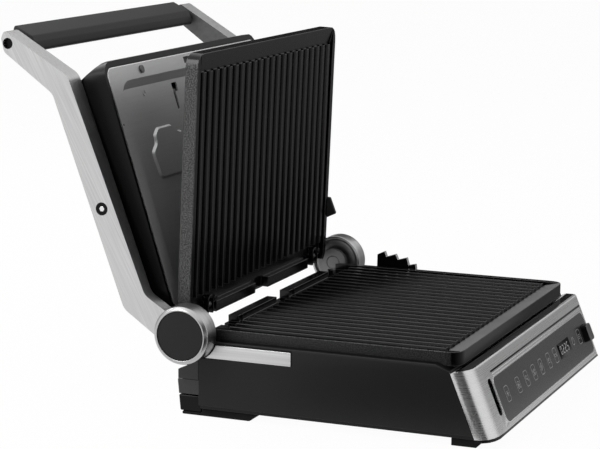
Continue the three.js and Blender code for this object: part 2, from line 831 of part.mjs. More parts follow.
// Hinge brackets and pins
const bracketOuter = bracketInner + bracketThickness;
function hingeBracket(s) {
  const leg = across([
    [rearFace, bracketFootZ],
    [bracketReach, bracketFootZ],
    [bracketReach, bracketShoulder],
    [-bracketNeck, bracketWaistLow],
    [-bracketNeck, bracketWaistHigh],
    [hubRadius * halfShare, hingeHeight - hubRadius * halfShare],
    [rearFace, hingeHeight],
  ], s * bracketInner, s * bracketOuter);
  const hub = rod(hubRadius, s * bracketInner, s * bracketOuter, 0, hingeHeight);
  const bore = rod(pinRadius + gap, s * (bracketInner - over), s * (bracketOuter + over), 0, hingeHeight);
  return leg.add(hub).subtract(bore);
}
const pinEnd = drumOuter - capDepth - gap - drumWeb;
for (const { name, s } of sides) {
  part(`hinge_bracket_${name}`, hingeBracket(s), blackPlastic);
  part(`hinge_pin_${name}`, rod(pinRadius, s * bracketInner, s * (pinEnd - gap), 0, hingeHeight), steel);
}

// Height slider: a stepped rack that slides on a guide on the right-hand ledge
const guideFoot = coverTop + gap;
const sliderFoot = guideFoot + guideHeight + gap;
part('rack_guide', block(bracketInner, sliderOuter, -guideFront, -guideRear, guideFoot, guideFoot + guideHeight),
  darkSteel);
const stepShares = [
  [0, 0],
  [0.01, 0.82],
  [0.19, 1],
  [0.24, 0.73],
  [0.47, 0.89],
  [0.53, 0.62],
  [0.75, 0.76],
  [0.8, 0.39],
  [0.97, 0.47],
  [1, 0],
];
const sliderRise = sliderTop - sliderFoot;
part('height_slider', across(stepShares.map(([along, up]) => [
  -sliderRear - along * sliderLength,
  sliderFoot + up * sliderRise,
]), bracketInner, sliderOuter), blackPlastic);

// Sloped control front; its own frame has x across, y up the slope and z out of it
const slope = new THREE.Group();
slope.position.set(0, -slopeTopY, slopeTopZ);
slope.rotation.x = quarterTurn - slopeTilt;
root.add(slope);
const slopeMatrix = new THREE.Matrix4().makeRotationX(quarterTurn - slopeTilt)
  .setPosition(0, -slopeTopY, slopeTopZ);

// A prism that stands square on the slope, given in the world frame
function slopePrism(corners, out0, out1) {
  const basis = slopeMatrix.clone();
  return extruded(outline(corners), out0, out1, basis);
}

// Column up the slope: its left corner turns a long way across and back to the joint, its right one is small
function frameColumn(inset) {
  const half = coverOuter - inset;
  const nearStart = coverOuter - frameCornerNear;
  const back = -frameDepth - deckDepth;
  const section = new THREE.Shape();
  section.moveTo(-half, back);
  section.lineTo(-half, -frameDepth);
  section.quadraticCurveTo(-half, -inset, frameCornerWide - coverOuter, -inset);
  section.lineTo(nearStart, -inset);
  section.quadraticCurveTo(half, -inset, half, -frameCornerNear);
  section.lineTo(half, back);
  const basis = slopeMatrix.clone().multiply(lengthwiseBasis);
  return extruded(section, -deckDepth, slopeLength + frameDepth, basis);
}

function frontFrame() {
  const deckFront = slopeY(deckHeight, 0);
  const solidFrame = across([
    [-deckRear, deckHeight, over],
    [deckFront, deckHeight, deckRound],
    [slopeY(slopeFootZ, 0), slopeFootZ, over],
    [slopeY(slopeFootZ, frameDepth), slopeFootZ],
    slopePoint(slopeTopZ + gap, frameDepth),
  ], -coverOuter, coverOuter);
  const roomTop = deckHeight - frameWall;
  const roomFoot = slopeFootZ + frameWall;
  const room = across([
    slopePoint(roomTop, frameWall),
    slopePoint(roomFoot, frameWall),
    slopePoint(roomFoot, frameDepth + frameWall),
    slopePoint(roomTop, frameDepth + frameWall),
  ], -coverOuter + frameWall, coverOuter - frameWall);
  const rounded = frameColumn(0);
  const roundedRoom = frameColumn(frameWall);
  const glassHole = slopePrism(rectangle(-glassLeft - gap, glassRight + gap, -glassFoot - gap, -glassTop + gap,
    glassCorner), -frameDepth, over);
  const slot = slopePrism(rectangle(-slotCentre - slotWidth / 2, -slotCentre + slotWidth / 2, -slotFoot,
    -slotTop, slotWidth / 2), -frameDepth, over);
  return solidFrame.intersect(rounded).subtract(room.intersect(roundedRoom)).subtract(glassHole).subtract(slot);
}
part('front_frame', frontFrame(), steel);

const buttonFace = (extra, radius) => rectangle(buttonCentre - buttonWidth / 2 - extra,
  buttonCentre + buttonWidth / 2 + extra, -buttonFoot - extra, -buttonTop + extra, radius);
const glassOut = -glassThickness;
part('control_glass', upright(rectangle(-glassLeft, glassRight, -glassFoot, -glassTop, glassCorner), glassOut, 0)
  .subtract(upright(buttonFace(gap, buttonCorner), glassOut - over, over)), glass, slope);

// Panel carrier: a shallow tray inside the frame; its floor backs the circuit board
const carrierLeft = coverOuter - frameCornerWide - gap;
const carrierRight = coverOuter - frameCornerNear - gap;
const carrierBack = -frameDepth;
const carrierFloorOut = carrierBack + carrierFloor;
const carrierRim = -frameWall - gap;
function panelCarrier() {
  const low = -carrierFoot;
  const tray = upright(rectangle(-carrierLeft, carrierRight, low, -carrierTop, carrierRound), carrierBack,
    carrierRim);
  const hollow = upright(rectangle(carrierWall - carrierLeft, carrierRight - carrierWall, low + carrierWall,
    -carrierTop - carrierWall, carrierRound), carrierFloorOut, carrierRim + over);
  return tray.subtract(hollow);
}
part('panel_carrier', panelCarrier(), blackPlastic, slope);
const boardBack = carrierFloorOut + gap;
const boardFace = boardBack + boardThickness;
const boardFoot = carrierWall + boardMargin - carrierFoot;
part('control_board', upright(rectangle(-glassLeft, glassRight - boardMargin, boardFoot,
  -carrierTop - carrierWall - boardMargin), boardBack, boardFace), boardGreen, slope);
part('display_module', upright(rectangle(displayCentre - displayWidth / 2, displayCentre + displayWidth / 2,
  -displayFoot, -displayTop), boardFace + gap, glassOut - gap), greyPlastic, slope);
part('power_button', upright(buttonFace(0, buttonCorner), -buttonStem, buttonProud), darkSteel, slope);

// Lid, modelled shut about the hinge axis and then turned open
const lid = new THREE.Group();
lid.position.set(0, 0, hingeHeight);
lid.rotation.x = -openAngle;
root.add(lid);

// Arms, relieved inside between the root and the knee
function arm(s) {
  const slab = across(armOutlineShares.map(([along, up, roundShare]) => [
    -along * armReach,
    up * armRise,
    roundShare * armBend,
  ]), s * armTipInner, s * armOuter);
  const rootY = armReach * armRootShare;
  const kneeY = armReach * armKneeShare;
  const relief = upright([
    [s * (armTipInner - over), armRise],
    [s * drumInner, armRise],
    [s * drumInner, -rootY],
    [s * armTipInner, -kneeY],
    [s * (armTipInner - over), -kneeY],
  ], -armRise, armRise + armRise);
  const collar = rod(collarRadius, s * collarInner, s * (armTipInner + over), -tipHoleY, tipHoleZ);
  const boltHole = rod(tipHoleRadius, s * tipHoleFloor, s * (armOuter + over), -tipHoleY, tipHoleZ, boltSides);
  const recess = rod(pivotHeadRadius + gap, s * (armOuter - pivotRecess), s * (armOuter + over), -pivotY, pivotZ);
  const bore = rod(pivotShank + gap, s * (armTipInner - over), s * armOuter, -pivotY, pivotZ, boltSides);
  const drumSeat = rod(drumRadius + gap, s * (armTipInner - over), s * (armOuter + over));
  return slab.subtract(relief).add(collar).subtract(boltHole).subtract(recess).subtract(bore).subtract(drumSeat);
}

// Hinge drum: a steel cup round its bush, closed outside by a dark cap
function hingeDrum(s) {
  const bore = pinRadius + gap + bushWall + gap;
  const face = drumOuter - capDepth - gap;
  return turned([
    [s * drumInner, bore],
    [s * pinEnd, bore],
    [s * pinEnd, 0],
    [s * face, 0],
    [s * face, capRadius + gap],
    [s * drumOuter, capRadius + gap],
    [s * drumOuter, drumRadius - drumBevel],
    [s * (drumOuter - drumBevel), drumRadius],
    [s * drumInner, drumRadius],
    [s * drumInner, bore],
  ]);
}
function drumCap(s) {
  return turned([
    [s * (drumOuter - capDepth), 0],
    [s * (drumOuter - capDepth), capRadius],
    [s * (drumOuter - capDome), capRadius],
    [s * drumOuter, capRadius - capDome],
    [s * drumOuter, 0],
  ]);
}
const bushRadius = pinRadius + gap + bushWall;
const bushInner = drumInner + gap;
for (const { name, s } of sides) {
  part(`arm_${name}`, arm(s), steel, lid);
  part(`hinge_drum_${name}`, hingeDrum(s), steel, lid);
  part(`drum_cap_${name}`, drumCap(s), blackPlastic, lid);
  part(`hinge_bush_${name}`, rod(bushRadius, s * bushInner, s * (pinEnd - gap))
    .subtract(rod(pinRadius + gap, s * (bushInner - over), s * pinEnd)), greyPlastic, lid);
  part(`handle_bolt_${name}`, rod(tipHoleRadius - gap, s * (tipHoleFloor + gap),
    s * (tipHoleFloor + gap + boltLength), -tipHoleY, tipHoleZ, boltSides), darkSteel, lid);
  const headFace = armOuter - pivotRecess + gap;
  part(`pivot_screw_${name}`, rod(pivotShank, s * pivotEnd, s * (headFace + gap), -pivotY, pivotZ, boltSides)
    .add(rod(pivotHeadRadius, s * headFace, s * (headFace + pivotHeadLength), -pivotY, pivotZ)), darkSteel, lid);
}

// Grip between the two tips
const gripShares = [
  [1, 0.976, 1],
  [0.954, 0.825, 0.8],
  [0.934, 0.814, 1],
  [0.904, 0.819, 1.3],
  [0.916, 0.93, 1.3],
  [0.95, 1, 1.3],
  [0.985, 1.01, 1],
];
part('handle_grip', across(gripShares.map(([along, up, roundShare]) => [
  -along * gripReach,
  up * gripRise,
  roundShare * gripRound,
]), -gripEnd, gripEnd), blackPlastic, lid);

// Lid head, hung on the arms by the two pivot screws
const head = new THREE.Group();
lid.add(head);
const headRise = headTop - headRim;
const headSlopeShares = [
  [1, 0.124],
  [0.934, 0.9],
];
function lidHousing() {
  const frontY = -headFront;
  const [lowShare, highShare] = headSlopeShares;
  const section = (inset, floor, toe) => [
    [frontY + inset + toe, floor],
    [frontY * lowShare[0] + inset, headRim + headRise * lowShare[1], over],
    [frontY * highShare[0] + inset, headRim + headRise * highShare[1] - inset * halfShare, headRoof],
    [frontY * highShare[0] + inset + headSideWall, headTop - (inset > 0 ? headRoof : 0), headRoof],
    [-headTopBack - inset, headTop - (inset > 0 ? headRoof : 0), headBackRound],
    [-headBack - inset, headRim + headRise * quarterShare, headRoof],
    [-headBack - inset, floor],
  ];
  const plan = (inset) => rectangle(-headHalfWidth + inset, headHalfWidth - inset, frontY, -headBack, headCorner);
  const outer = across(section(0, headRim, over), -headHalfWidth, headHalfWidth)
    .intersect(upright(plan(0), headRim, headTop + over));
  const cavityFront = headFrontWall;
  const innerPlan = rectangle(-headHalfWidth + headSideWall, headHalfWidth - headSideWall,
    frontY + cavityFront, -headPocket, panCorner);
  const cavity = across(section(cavityFront, headRim - over, 0), -headHalfWidth + headSideWall,
    headHalfWidth - headSideWall).intersect(upright(innerPlan, headRim - over, headTop));
  const pocket = block(-headHalfWidth - over, headHalfWidth + over, -headPocket, 0, headRim - over,
    headRim + headPocketRise);
  let made = outer.subtract(cavity).subtract(pocket);
  for (const s of [-1, 1]) {
    made = made.subtract(rod(pivotShank + gap + pivotBushWall + gap, s * (pivotEnd - headSideWall),
      s * (headHalfWidth + over), -pivotY, pivotZ));
  }
  return made;
}
part('lid_housing', lidHousing(), blackPlastic, head);

// Pan that closes the head, with its dished middle and two openings
function lidPan() {
  const flange = upright(rectangle(-panHalfWidth, panHalfWidth, -panFront, -panBack, panCorner), headRim,
    headRim + panSheet);
  const recess = (grow) => rectangle(-panRecessHalf + panSlope - grow, panRecessHalf - panSlope + grow,
    -panRecessFront + panSlope - grow, -panRecessBack - panSlope + grow, panCorner);
  const top = headRim + panSheet;
  const raised = dish(recess(panSheet), top, panRecess, panSlope);
  const hollow = dish(recess(0), headRim, panRecess, panSlope);
  const under = block(-panRecessHalf, panRecessHalf, -panRecessFront, -panRecessBack,
    headRim - over, headRim, panCorner);
  const catchHole = block(-catchWidth / 2, catchWidth / 2, -catchFront, -catchBack, headRim - over, top + over);
  const secondHole = block(-secondHoleLeft, -secondHoleRight, -secondHoleFront, -secondHoleBack, headRim,
    top + panRecess + over);
  const tongue = block(-secondHoleLeft, tongueWidth - secondHoleLeft, -secondHoleBack - over, -tongueBack,
    headRim, top + panRecess + over);
  let made = flange.add(raised).subtract(hollow).subtract(under).subtract(catchHole)
    .subtract(secondHole).subtract(tongue);
  for (const { x, y } of Object.values(panScrewPlaces)) {
    made = made.subtract(post(panScrewRadius * halfShare + gap, headRim - over, top + over, x, -y));
  }
  return made;
}
part('lid_pan', lidPan(), aluminium, head);
for (const [name, { x, y }] of Object.entries(panScrewPlaces)) {
  const shank = post(panScrewRadius * halfShare, headRim - gap - panScrewHead, headRim + panScrewDepth, x, -y);
  const cap = post(panScrewRadius, headRim - gap - panScrewHead, headRim - gap, x, -y);
  part(name, shank.add(cap), darkSteel, head);
}

const panTop = headRim + panSheet + panRecess;
const upperHeaterZ = panTop + gap + heaterDiameter / 2;
part('upper_heater', bentTube(heaterLoop(upperHeaterZ), heaterDiameter, heaterBend), darkSteel, head);
part('upper_thermostat', post(thermostatRadius, panTop + gap, panTop + gap + thermostatHeight, 0, -plateMiddle),
  steel, head);
part('plate_catch', block(-catchWidth / 2 - over, catchWidth / 2 + over, -catchBack - catchDepth + over,
  -catchBack + over, headRim + panSheet + gap, headRim + panSheet + gap + catchHeight), greyPlastic, head);

// Leg at the right of the head that meets the height slider's steps
part('height_stop', across([
  [-stopBack - over, headRim - gap],
  [-stopBack, -stopShoulder],
  [-stopBack - over, -stopDrop + over, over],
  [-stopBack - stopToe, -stopDrop],
  [-stopFront + over, -stopDrop + over],
  [-stopFront, -stopDrop + stopHeel],
  [-stopFront, headRim - gap],
], stopInner, headHalfWidth), greyPlastic, head);

for (const { name, s } of sides) {
  const bushOuter = armTipInner + (drumInner - armTipInner) * halfShare;
  part(`pivot_bush_${name}`, rod(pivotShank + gap + pivotBushWall, s * (pivotEnd - gap), s * (bushOuter - gap),
    -pivotY, pivotZ).subtract(rod(pivotShank + gap, s * (pivotEnd - over), s * bushOuter, -pivotY, pivotZ)),
  greyPlastic, head);
  const hookX = s < 0 ? hookLeftX : hookRightX;
  part(`plate_hook_${name}`, across([
    [-tipAxisY - hookLength / 2, headRim + headPocketRise - gap],
    [-tipAxisY + hookLength / 2, headRim + headPocketRise - gap],
    [-tipAxisY + hookLength / 2, tipAxisZ - hookTipRadius, hookTipRadius],
    [-tipAxisY - hookLength / 2, tipAxisZ - hookTipRadius, hookTipRadius],
  ], hookX - hookWidth / 2, hookX + hookWidth / 2), steel, head);
}

// Upper plate, face down in the head and tipped out of it about its hooks
const tip = new THREE.Group();
tip.position.set(0, -tipAxisY, tipAxisZ);
tip.rotation.x = tipAngle;
head.add(tip);
const upperPlate = part('upper_plate', grillPlate(1), castCoating, tip);
upperPlate.rotation.x = Math.PI;
upperPlate.position.set(0, tipAxisY - plateSetback, plateRise + plateApart - tipAxisZ);

// The origin lies under the middle of the whole grill's box, on the table
root.updateMatrixWorld(true);
const box = new THREE.Box3().setFromObject(root, true);
const centre = box.getCenter(new THREE.Vector3());
const grill = new THREE.Group();
root.position.set(-centre.x, -centre.y, -box.min.z);
grill.add(root);

export default grill;
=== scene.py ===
# %% [markdown]
# # Dressing an electric contact grill
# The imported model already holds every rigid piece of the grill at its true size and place, in metres.
# Blender's share is how it looks: edges that catch the light, brushed metal, cast and moulded grain,
# printed signs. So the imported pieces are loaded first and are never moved, and all that is made later is
# fitted to them.

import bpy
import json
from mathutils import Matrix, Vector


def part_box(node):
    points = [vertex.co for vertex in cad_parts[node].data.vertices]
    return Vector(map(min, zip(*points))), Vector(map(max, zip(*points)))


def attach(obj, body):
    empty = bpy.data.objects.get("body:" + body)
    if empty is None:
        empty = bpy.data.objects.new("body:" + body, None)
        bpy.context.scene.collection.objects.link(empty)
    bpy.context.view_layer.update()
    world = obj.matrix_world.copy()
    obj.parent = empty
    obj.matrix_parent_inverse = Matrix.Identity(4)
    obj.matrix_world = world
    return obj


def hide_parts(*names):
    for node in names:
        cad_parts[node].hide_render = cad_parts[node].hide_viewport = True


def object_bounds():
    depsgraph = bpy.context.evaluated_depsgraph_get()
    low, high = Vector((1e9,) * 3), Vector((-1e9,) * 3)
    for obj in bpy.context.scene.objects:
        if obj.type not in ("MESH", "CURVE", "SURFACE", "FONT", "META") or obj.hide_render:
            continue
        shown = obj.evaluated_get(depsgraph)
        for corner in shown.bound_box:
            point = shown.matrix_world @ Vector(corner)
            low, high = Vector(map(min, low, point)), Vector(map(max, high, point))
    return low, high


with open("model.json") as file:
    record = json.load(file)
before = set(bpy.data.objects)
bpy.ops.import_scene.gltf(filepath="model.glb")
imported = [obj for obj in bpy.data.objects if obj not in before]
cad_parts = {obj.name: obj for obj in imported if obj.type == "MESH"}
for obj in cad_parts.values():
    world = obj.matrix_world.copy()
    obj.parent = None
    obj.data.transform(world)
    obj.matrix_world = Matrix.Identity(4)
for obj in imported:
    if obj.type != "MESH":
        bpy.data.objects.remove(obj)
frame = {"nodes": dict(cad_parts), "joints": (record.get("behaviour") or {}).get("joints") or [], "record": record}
cad_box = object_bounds()
print("packed pieces:", len(frame["nodes"]))

# %% [markdown]
# Sizes are written in millimetres, as on a drawing. The record says which body a piece moves with and which
# finish it has, and its joints say where the lid turns, so nothing of that is typed again here.

# %% Units, bodies and finishes from the record
import json
import math
import bmesh
import bpy
from mathutils import Matrix, Vector

mm = 0.001
scene = bpy.context.scene
record = frame["record"]
joints = {joint["name"]: joint for joint in frame["joints"]}
body_of = {node: body for body, nodes in record["behaviour"]["bodies"].items() for node in nodes}
slot_of = {entry["node"]: entry["material_slot"] for entry in record["subparts"]}


def in_mm(length):
    return round(length / mm, 1)


print("bodies:", sorted(set(body_of.values())))

# %% [markdown]
# The lid stands open, the upper plate hangs tipped out of it and the control panel slopes. Each is easier
# to work on in a frame of its own: the lid as if it were shut, the plate lying flat, the panel as a drawing
# board with X across, Y up the slope and Z out of it. One matrix per frame takes the finished piece to its
# place.

# %% Frames of the lid, the tipped plate and the sloped panel
def hinge_frame(name, angle):
    return Matrix.Translation(Vector(joints[name]["pos_m"])) @ Matrix.Rotation(angle, 4, "X")


open_angle = math.radians(joints["lid_hinge"]["range_deg"][0])
tip_angle = -math.radians(joints["upper_plate_tip"]["range_deg"][0])
lid_frame = hinge_frame("lid_hinge", open_angle)
tip_frame = hinge_frame("upper_plate_tip", open_angle + tip_angle)
panel_out = -Vector(joints["power_button_press"]["axis"]).normalized()
panel_across = Vector((1, 0, 0))
panel_up = panel_out.cross(panel_across)


def reach(node, direction):
    """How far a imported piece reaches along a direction."""
    return max(vertex.co.dot(direction) for vertex in frame["nodes"][node].data.vertices)


def box_in(node, matrix):
    """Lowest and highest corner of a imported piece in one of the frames."""
    places = [matrix.inverted() @ vertex.co for vertex in frame["nodes"][node].data.vertices]
    low = Vector(min(place[i] for place in places) for i in range(3))
    high = Vector(max(place[i] for place in places) for i in range(3))
    return low, high


panel_origin = panel_out * reach("control_glass", panel_out) + panel_up * reach("control_glass", panel_up)
panel_turn = Matrix((panel_across, panel_up, panel_out)).transposed().to_4x4()
panel_frame = Matrix.Translation(panel_origin) @ panel_turn
print("panel top of glass at", [in_mm(value) for value in panel_origin])

# %% [markdown]
# The camera comes first, because it decides what has to be finished finely. It stands at the left and a
# little above the table, far away, with a long lens, so that parallel edges stay nearly parallel as in the
# photograph. The photograph was cropped off centre, and a small lens shift stands for that.

# %% Camera
photo_width = 600
focal_pixels = 2097.5
centre_left = 5.09
centre_down = 0.8
sensor_width = 36.0
farthest_seen = 100
view_azimuth = math.radians(-67.242)
view_elevation = math.radians(10.253)
view_roll = math.radians(0.193)
view_distance = 1794.1 * mm
view_target = Vector((0, 20.9 * mm, 132.5 * mm))

view_back = Vector((math.sin(view_azimuth) * math.cos(view_elevation),
                    -math.cos(view_azimuth) * math.cos(view_elevation), math.sin(view_elevation)))
view_right = Vector((math.cos(view_azimuth), math.sin(view_azimuth), 0))
view_up = view_back.cross(view_right)
rolled_right = view_right * math.cos(view_roll) + view_up * math.sin(view_roll)
rolled_up = view_up * math.cos(view_roll) - view_right * math.sin(view_roll)

camera_data = bpy.data.cameras.new("studio_camera")
camera_data.sensor_width = sensor_width
camera_data.lens = focal_pixels / photo_width * sensor_width
camera_data.shift_x = centre_left / photo_width
camera_data.shift_y = centre_down / photo_width
camera_data.clip_end = farthest_seen
camera = bpy.data.objects.new("studio_camera", camera_data)
scene.collection.objects.link(camera)
turn = Matrix((rolled_right, rolled_up, view_back)).transposed().to_4x4()
camera.matrix_world = Matrix.Translation(view_target + view_back * view_distance) @ turn
scene.camera = camera
scene.view_settings.view_transform = "Standard"
print("lens", round(camera_data.lens, 1), "mm")

# %% [markdown]
# The Mix node keeps its colour sockets behind hidden ones of the same name, for numbers and vectors. So a
# socket is found by its name among the enabled ones.

# %% Sockets by name, hidden ones passed over
def shown(sockets, name):
    if isinstance(name, int):
        return sockets[name]
    return next(socket for socket in sockets if socket.name == name and socket.enabled)


print("socket finder ready")

# %% [markdown]
# Most patterns of the finishes are sums: a grain plus a streak times a share. Wiring them by hand hides
# what they say. A small class that holds one output of a node lets them be written as sums in Python, and
# each operator adds its own Math node. All other nodes come from its one method.

# %% Sums of node outputs
class Wire:
    """One output of a node, which can stand in a sum."""

    def __init__(self, socket):
        self.socket = socket

    @classmethod
    def node(cls, tree, kind, settings=None, sockets=None, output=0):
        made = tree.nodes.new("ShaderNode" + kind)
        for name, value in (settings or {}).items():
            if name == "stops":
                ramp = made.color_ramp
                while len(ramp.elements) < len(value):
                    ramp.elements.new(0.5)
                for element, (place, level) in zip(ramp.elements, value):
                    element.position = place
                    element.color = (level, level, level, 1)
            else:
                setattr(made, name, value)
        for name, value in (sockets or {}).items():
            if isinstance(value, Wire):
                tree.links.new(value.socket, shown(made.inputs, name))
            else:
                shown(made.inputs, name).default_value = value
        return cls(shown(made.outputs, output))

    def sum(self, operation, *values):
        return Wire.node(self.socket.id_data, "Math", {"operation": operation}, dict(enumerate(values)))

    def __add__(self, other):
        return self.sum("ADD", self, other)

    __radd__ = __add__

    def __sub__(self, other):
        return self.sum("SUBTRACT", self, other)

    def __mul__(self, other):
        return self.sum("MULTIPLY", self, other)


print("sums ready")

# %% [markdown]
# Greys are named by the level that a picture shows, from 0 to 255, because that can be compared with the
# photograph. Shaders count in light instead, so one function turns the level into light.

# %% Grey levels
def grey(level):
    share = level / 255
    light = share / 12.92 if share <= 0.04045 else ((share + 0.055) / 1.055) ** 2.4
    return (light, light, light, 1)


print("level 128 is light", round(grey(128)[0], 3))

# %% [markdown]
# Every finish starts in the same way: one Principled shader whose plain numbers are set on its own sockets,
# and the place of each point in the object's own coordinates, in metres, so that the grain has its real
# size.

# %% A blank finish
finishes = {}


class Blank:
    """A new material with its shader and the coordinates that its patterns read."""

    def __init__(self, name, **plain):
        self.material = bpy.data.materials.new(name)
        self.material.use_nodes = True
        self.tree = self.material.node_tree
        self.shader = self.tree.nodes["Principled BSDF"]
        for socket, value in plain.items():
            self.shader.inputs[socket.replace("_", " ")].default_value = value
        self.place = self.node("TexCoord", output="Object")
        finishes[name] = self.material

    def node(self, kind, settings=None, sockets=None, output=0):
        return Wire.node(self.tree, kind, settings, sockets, output)

    def turned(self, angle, stretch):
        """Coordinates turned about X and stretched, for grain that runs one way."""
        spun = self.node("Mapping", {}, {"Vector": self.place, "Rotation": (angle, 0, 0)})
        return self.node("Mapping", {}, {"Vector": spun, "Scale": stretch})

    def noise(self, per_metre, detail=2.0, place=None):
        sockets = {"Vector": place or self.place, "Scale": per_metre, "Detail": detail}
        return self.node("TexNoise", {}, sockets, "Fac")

    def between(self, share, low, high):
        """A colour from low to high."""
        return self.node("Mix", {"data_type": "RGBA"}, {"Factor": share, "A": low, "B": high}, "Result")

    def ramp(self, share, *stops):
        return self.node("ValToRGB", {"stops": stops}, {"Fac": share}, "Color")

    def drive(self, socket, wire):
        self.tree.links.new(wire.socket, self.shader.inputs[socket])

    def bump(self, height, depth, strength=1.0):
        sockets = {"Strength": strength, "Distance": depth, "Height": height}
        self.drive("Normal", self.node("Bump", {}, sockets, "Normal"))


print("finishes so far:", len(finishes))

# %% [markdown]
# ## Finishes
# The black parts are injection-moulded plastic with a fine satin grain. Seen close, the grain breaks up the
# shine, and from a step away it only widens it. A noise of half a millimetre feeds a shallow bump and moves
# the roughness a little, and a second, slow noise varies the tone as real mouldings vary.

# %% Moulded plastics
clouds_per_metre = 14
shine_spread = 0.05
grain_in_shine = 0.07
grain_strength = 0.5


def moulded(name, low, high, roughness, specular, grain=2200, depth=0.04 * mm):
    blank = Blank(name, Specular_IOR_Level=specular)
    fine = blank.noise(grain, 3)
    slow = blank.noise(clouds_per_metre, 2)
    blank.drive("Base Color", blank.between(slow, grey(low), grey(high)))
    blank.drive("Roughness", roughness - shine_spread + fine * grain_in_shine + slow * shine_spread)
    blank.bump(fine, depth, grain_strength)
    return blank.material


black_moulding = moulded("black_moulding", 22, 28, 0.42, 0.22)
deep_black = moulded("deep_black_moulding", 4, 8, 0.3, 0.16)
window_black = moulded("window_black", 1, 3, 0.3, 0.05)
wall_black = moulded("wall_black", 7, 11, 0.34, 0.08)
bracket_moulding = moulded("bracket_moulding", 26, 36, 0.34, 0.4)
band_moulding = moulded("band_moulding", 30, 38, 0.2, 0.5)
grey_moulding = moulded("grey_moulding", 50, 60, 0.45, 0.3)
cap_moulding = moulded("cap_moulding", 36, 40, 0.5, 0.15)
grip_moulding = moulded("grip_moulding", 44, 52, 0.5, 0.25, 1500, 0.06 * mm)
foot_rubber = moulded("foot_rubber", 14, 20, 0.8, 0.2, 900, 0.1 * mm)
print("moulded finishes:", len(finishes))

# %% [markdown]
# The plates are die-cast aluminium under a dark non-stick coating. The cooking face is nearly smooth with a
# soft sheen. The outer walls were left as cast, so the coating lies there on a pebbled skin, lighter on the
# tops of the pebbles.

# %% Coated castings
wall_depth = 1.2 * mm
wall_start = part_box("lower_plate")[1].x - wall_depth
wall_sharpness = 1500
coat_grain = 1500
coat_clouds = 30
pebbles_per_metre = 1150
pebble_height = 0.35 * mm
pebble_strength = 0.7
pebble_foot, pebble_top = 0.42, 0.62
grain_share = 0.06
cloud_in_shine = 0.06
wall_in_shine = 0.2


def coated(name, low, high, roughness, wall_low=24, wall_high=104):
    blank = Blank(name, Specular_IOR_Level=0.3)
    fine = blank.noise(coat_grain, 3)
    slow = blank.noise(coat_clouds, 3)
    across = blank.node("SeparateXYZ", {}, {"Vector": blank.place}, "X")
    wall = (across.sum("ABSOLUTE", across) - wall_start) * wall_sharpness
    wall = wall.sum("MINIMUM", wall.sum("MAXIMUM", wall, 0), 1)
    pebble = blank.noise(pebbles_per_metre, 2)
    tops = blank.ramp(pebble, (pebble_foot, 0), (pebble_top, 1))
    cooking = blank.between(slow, grey(low), grey(high))
    cast = blank.between(tops, grey(wall_low), grey(wall_high))
    blank.drive("Base Color", blank.between(wall, cooking, cast))
    blank.drive("Roughness", roughness + slow * cloud_in_shine + wall * wall_in_shine)
    blank.bump(fine * grain_share + pebble * wall, pebble_height, pebble_strength)
    return blank.material


cooking_coat = coated("cooking_coat", 7, 11, 0.18)
# The lower plate has the same coating, and this darker copy of it is painted shade.
lower_coat = coated("lower_coat", 3, 6, 0.16, 14, 56)
# The light coat for the lower plate's apron is a painted reflection of the bright room.
rubbed_coat = coated("rubbed_coat", 96, 136, 0.5)
# The last two are painted highlights on the rounded rib edges of the upper and lower plate.
edge_coat = coated("edge_coat", 38, 58, 0.22)
worn_edge = coated("worn_edge", 50, 76, 0.3)
print("plate walls begin at x", in_mm(wall_start), "mm")

# %% [markdown]
# Brushed metal is scratched in one direction. A noise that is stretched many times over along the brushing
# gives the scratches. The same scratches lighten the tone, roughen the shine and tilt the surface, which
# pulls the highlights into the soft streaks that the arms show. The darker finish of the arms' inner sides,
# which is painted shade, and plain steel use the noise unstretched.

# %% Brushed metals
streak_widening = 6
tone_gain = 1.2
tone_offset = 0.1
scratch_in_shine = 0.12
scratch_strength = 0.35


def brushed(name, low, high, roughness, along, depth=0.02 * mm, angle=0.0, streak=0.5):
    blank = Blank(name, Metallic=1.0)
    scratch = blank.noise(1.0, 3, blank.turned(angle, along))
    wide = blank.noise(1.0, 1, blank.turned(angle, tuple(value / streak_widening for value in along)))
    tone = scratch * (tone_gain - streak) + wide * streak - tone_offset
    blank.drive("Base Color", blank.between(tone, grey(low), grey(high)))
    blank.drive("Roughness", roughness + scratch * scratch_in_shine)
    blank.bump(scratch, depth, scratch_strength)
    return blank.material


arm_bend = math.radians(-10)
arm_run = open_angle + arm_bend
brushed_arm = brushed("brushed_arm", 172, 216, 0.3, (900, 16, 920), angle=-arm_run, streak=0.1)
# The arms' inner sides get a darker, rougher finish: painted shade.
cast_arm = brushed("cast_arm", 78, 116, 0.46, (260, 260, 260), angle=-arm_run)
brushed_front = brushed("brushed_front", 196, 222, 0.22, (5, 5, 1100), 0.002 * mm)
polished_deck = brushed("polished_deck", 168, 186, 0.03, (5, 300, 300), 0.001 * mm)
brushed_strip = brushed("brushed_strip", 164, 232, 0.28, (600, 7, 600))
turned_steel = brushed("turned_steel", 138, 206, 0.24, (900, 40, 40))
bright_steel = brushed("bright_steel", 214, 240, 0.16, (60, 60, 60))
dark_steel = brushed("dark_steel", 84, 120, 0.34, (60, 60, 60))
satin_steel = brushed("satin_steel", 120, 140, 0.42, (60, 60, 60))
print("metal finishes ready")

# %% [markdown]
# The pan in the lid is pressed sheet that has seen some heat: dull, with a faint rolling grain and slow
# clouds. The control panel is one sheet of dark glossy plastic glass, and the rest are small inner
# finishes.

# %% Pressed pan, panel glass and the board
pressed = Blank("pressed_pan", Metallic=0.55)
rolled = pressed.noise(1.0, 2, pressed.turned(0.0, (30, 500, 500)))
cloud = pressed.noise(9, 3)
pressed.drive("Base Color", pressed.between(cloud * 0.6 + rolled * 0.4, grey(196), grey(226)))
pressed.drive("Roughness", 0.3 + cloud * 0.12 + rolled * 0.06)
pressed.bump(rolled, 0.02 * mm, 0.3)
pressed_pan = pressed.material

